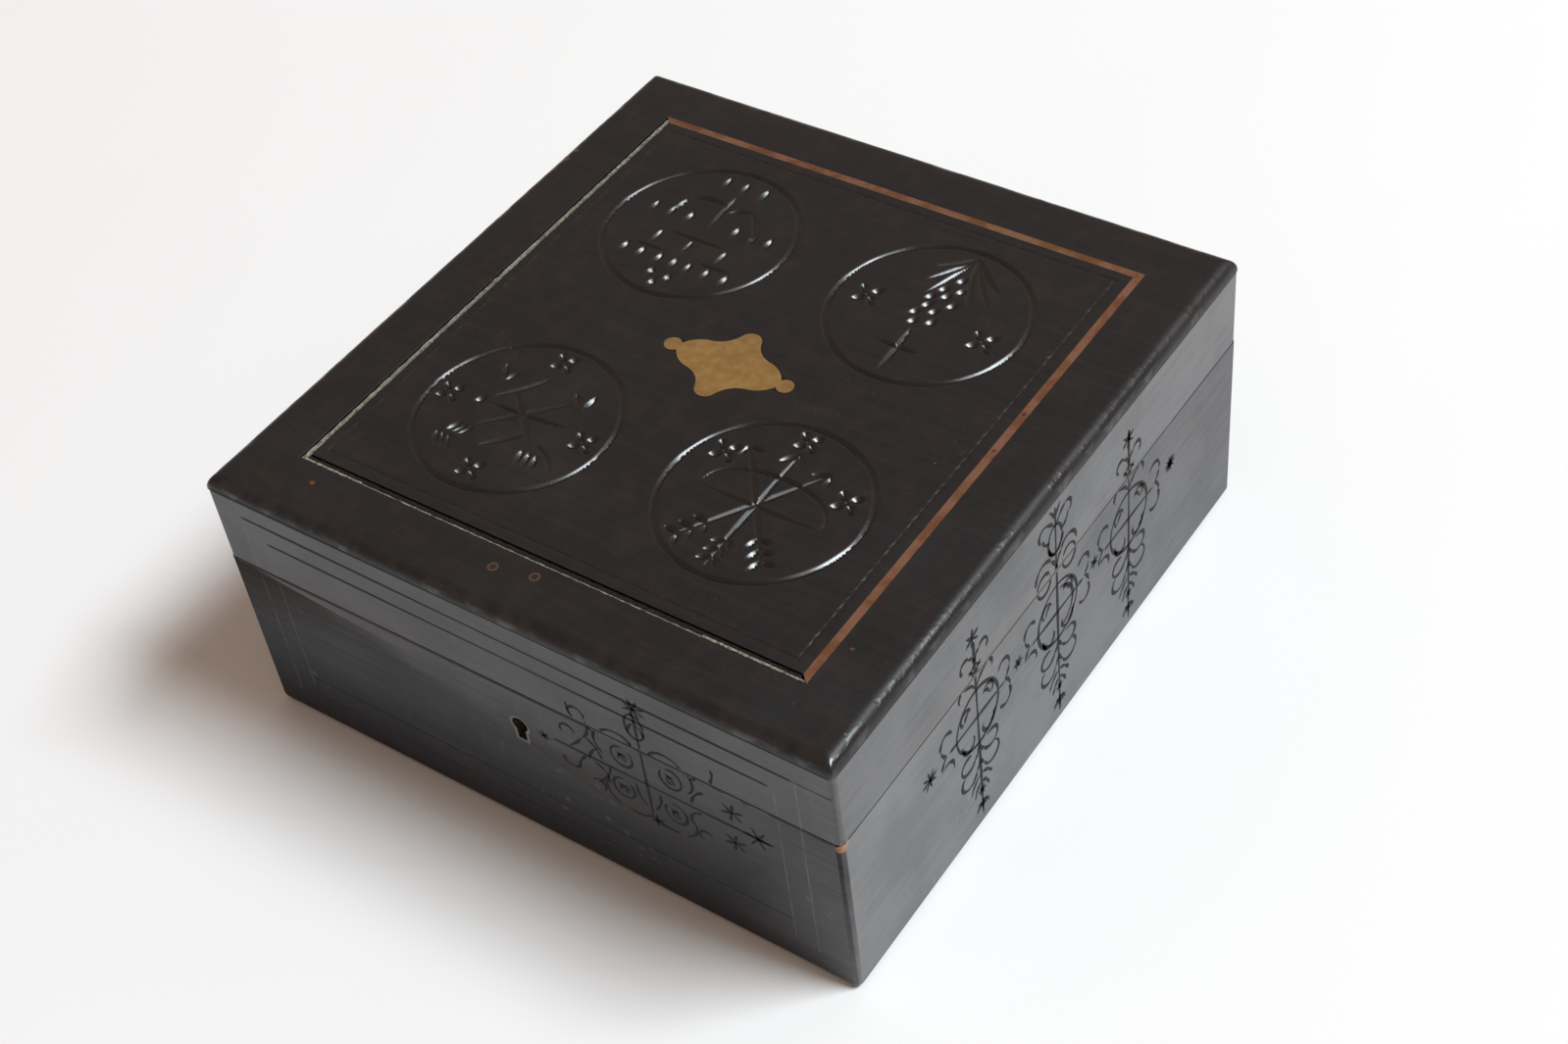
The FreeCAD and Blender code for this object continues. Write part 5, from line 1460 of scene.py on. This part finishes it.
# points round a handle and round a tuft
HANDLE_RIBS, TUFT_RIBS = 48, 72
# distance along a tuft from root to tip, and its radius there as a share of the handle's
TUFT_SHAPE = ([0, 0.06, 0.16, 0.45, 0.62, 0.80, 0.93, 1.0], [0.74, 0.84, 0.91, 0.90, 0.78, 0.47, 0.17, 0.03])


def locks(angle, along):
    """Locks of hair: the radius swells and falls as 1 + 0.035 sin(18 a + 0.12 y) cos(7 a - 0.05 y)."""
    return 1 + 0.035 * np.sin(18 * angle + 0.12 * along) * np.cos(7 * angle - 0.05 * along)


class OBJECT_OT_ink_box_brushes(bpy.types.Operator):
    """Turn the bamboo handles with their joints and spread the tufts of hair"""
    bl_idname = "object.ink_box_brushes"
    bl_label = "Brushes"

    def execute(self, context):
        for name in ("brush_large", "brush_small"):
            low, high = span_mm(f"{name}_handle")
            radius = (high[0] - low[0]) / 2
            place = np.array([(low[0] + high[0]) / 2, low[1], (low[2] + high[2]) / 2])
            length = high[1] - low[1]
            along = np.concatenate([[0.0, 0.15, 0.5, 1.0], np.linspace(1.4, length - 0.3, 160), [length]])
            wide = np.full(len(along), radius)
            wide[:4] = radius - np.array([1.0, 0.6, 0.25, 0.05])
            ring = np.zeros(len(along))
            for share in JOINT_PLACES:
                away = (along - share * length) / JOINT_LENGTH
                wide -= JOINT_DIP * np.exp(-((away - 1.2) ** 2)) + JOINT_LINE * np.exp(-(away ** 2))
                ring = np.maximum(ring, np.exp(-((away - 1.0) ** 2)))
            wide[-1] = radius - 0.3
            handle = lathe(f"{name}_cane", np.column_stack([along, wide]), place, HANDLE_RIBS)
            set_values(handle.data, "ring", np.concatenate([np.repeat(ring, HANDLE_RIBS), [0, 0]]))
            give(handle, name, "bamboo", [f"{name}_handle"])
            root = length - 2.0
            t = np.linspace(0, 1, 60)
            shape = np.interp(t, *TUFT_SHAPE)
            tip = span_mm(f"{name}_hair")[1][1] - low[1]
            profile = np.column_stack([root + t * (tip - root), radius * shape])
            hair = lathe(f"{name}_tuft", profile, place, TUFT_RIBS, locks)
            set_values(hair.data, "tip", np.concatenate([np.repeat(t, TUFT_RIBS), [0, 1]]))
            give(hair, name, "hair", [f"{name}_hair"])
        return {"FINISHED"}


# size in metres, place and colour of the window light, and colour of the even light
WINDOW_SIZE = (1.8, 1.15)
WINDOW_PLACE = (2.07, 0.92, 3.30)
WINDOW_COLOUR = (0.87, 0.95, 1.0)
ROOM_COLOUR = (1.0, 0.75, 0.60, 1.0)
# place of the camera in metres and its turns in degrees
CAMERA_PLACE = (0.25473, -0.29631, 0.41591)
CAMERA_TURN = (44.5029, 5.5919, 33.9879)


def aim(thing, target):
    """Turn a light so that it looks at a point."""
    way = Vector(target) - thing.location
    thing.rotation_euler = way.to_track_quat("-Z", "Y").to_euler()


class OBJECT_OT_ink_box_stage(bpy.types.Operator):
    """Lay the pale cloth floor, hang the soft window light, fill the room with light and set the camera"""
    bl_idname = "object.ink_box_stage"
    bl_label = "Floor, light and camera"

    def execute(self, context):
        stage = chosen("stage")
        reach, floor_foot, floor_top = 2500.0, -30.0, -0.02
        flat = np.array([[-reach, -reach], [reach, -reach], [reach, reach], [-reach, reach]])
        corners = np.concatenate([np.column_stack([flat, np.full(4, z)]) for z in (floor_foot, floor_top)])
        sides = np.array([[0, 1, 5, 4], [1, 2, 6, 5], [2, 3, 7, 6], [3, 0, 4, 7], [3, 2, 1, 0], [4, 5, 6, 7]])
        floor = build("floor", corners, [sides])
        floor.data.materials.append(MATERIALS["cloth"])
        lamp = bpy.data.lights.new("window_light", "AREA")
        lamp.shape = "RECTANGLE"
        lamp.size, lamp.size_y = WINDOW_SIZE
        lamp.color = WINDOW_COLOUR
        lamp.energy = stage.key_power
        made = bpy.data.objects.new("window_light", lamp)
        made.location = WINDOW_PLACE
        aim(made, (0.0, 0.0, 0.03))
        context.scene.collection.objects.link(made)
        world = bpy.data.worlds.new("room")
        world.use_nodes = True
        backdrop = world.node_tree.nodes["Background"]
        backdrop.inputs["Color"].default_value = ROOM_COLOUR
        backdrop.inputs["Strength"].default_value = stage.sky_level
        context.scene.world = world
        lens = bpy.data.cameras.new("camera")
        lens.lens = stage.focal_length
        lens.sensor_width = 36.0
        lens.clip_start = 0.01
        camera = bpy.data.objects.new("camera", lens)
        camera.location = CAMERA_PLACE
        camera.rotation_euler = Euler([math.radians(angle) for angle in CAMERA_TURN])
        context.scene.collection.objects.link(camera)
        context.scene.camera = camera
        context.scene.view_settings.view_transform = "Standard"
        return {"FINISHED"}


class VIEW3D_PT_ink_box(bpy.types.Panel):
    """Lists the settings of the ink box and the buttons that build it"""
    bl_label = "Ink box"
    bl_idname = "VIEW3D_PT_ink_box"
    bl_space_type = "VIEW_3D"
    bl_region_type = "UI"
    bl_category = "Ink box"

    def draw(self, context):
        layout = self.layout
        for name in GROUPS:
            group, box = getattr(context.scene, name), layout.box()
            for label in group.__annotations__:
                box.prop(group, label)
        for operator in OPERATORS:
            layout.operator(operator.bl_idname)


OPERATORS = (
    OBJECT_OT_ink_box_finishes,
    OBJECT_OT_ink_box_carving,
    OBJECT_OT_ink_box_filler,
    OBJECT_OT_ink_box_scrollwork,
    OBJECT_OT_ink_box_screws,
    OBJECT_OT_ink_box_brushes,
    OBJECT_OT_ink_box_stage,
)
GROUPS = {
    "ink_box_lid": LidSettings,
    "ink_box_body": BodySettings,
    "ink_box_contents": ContentsSettings,
    "ink_box_stage": StageSettings,
}


def register():
    for group in GROUPS.values():
        bpy.utils.register_class(group)
    for label, group in GROUPS.items():
        setattr(bpy.types.Scene, label, bpy.props.PointerProperty(type=group))
    for operator in OPERATORS:
        bpy.utils.register_class(operator)
    bpy.utils.register_class(VIEW3D_PT_ink_box)


def unregister():
    bpy.utils.unregister_class(VIEW3D_PT_ink_box)
    for operator in reversed(OPERATORS):
        bpy.utils.unregister_class(operator)
    for label in GROUPS:
        delattr(bpy.types.Scene, label)
    for group in GROUPS.values():
        bpy.utils.unregister_class(group)


def main():
    """Register and run every operator in order."""
    register()
    bpy.ops.object.ink_box_finishes()
    bpy.ops.object.ink_box_carving()
    bpy.ops.object.ink_box_filler()
    bpy.ops.object.ink_box_scrollwork()
    bpy.ops.object.ink_box_screws()
    bpy.ops.object.ink_box_brushes()
    bpy.ops.object.ink_box_stage()


if __name__ == "__main__":
    main()
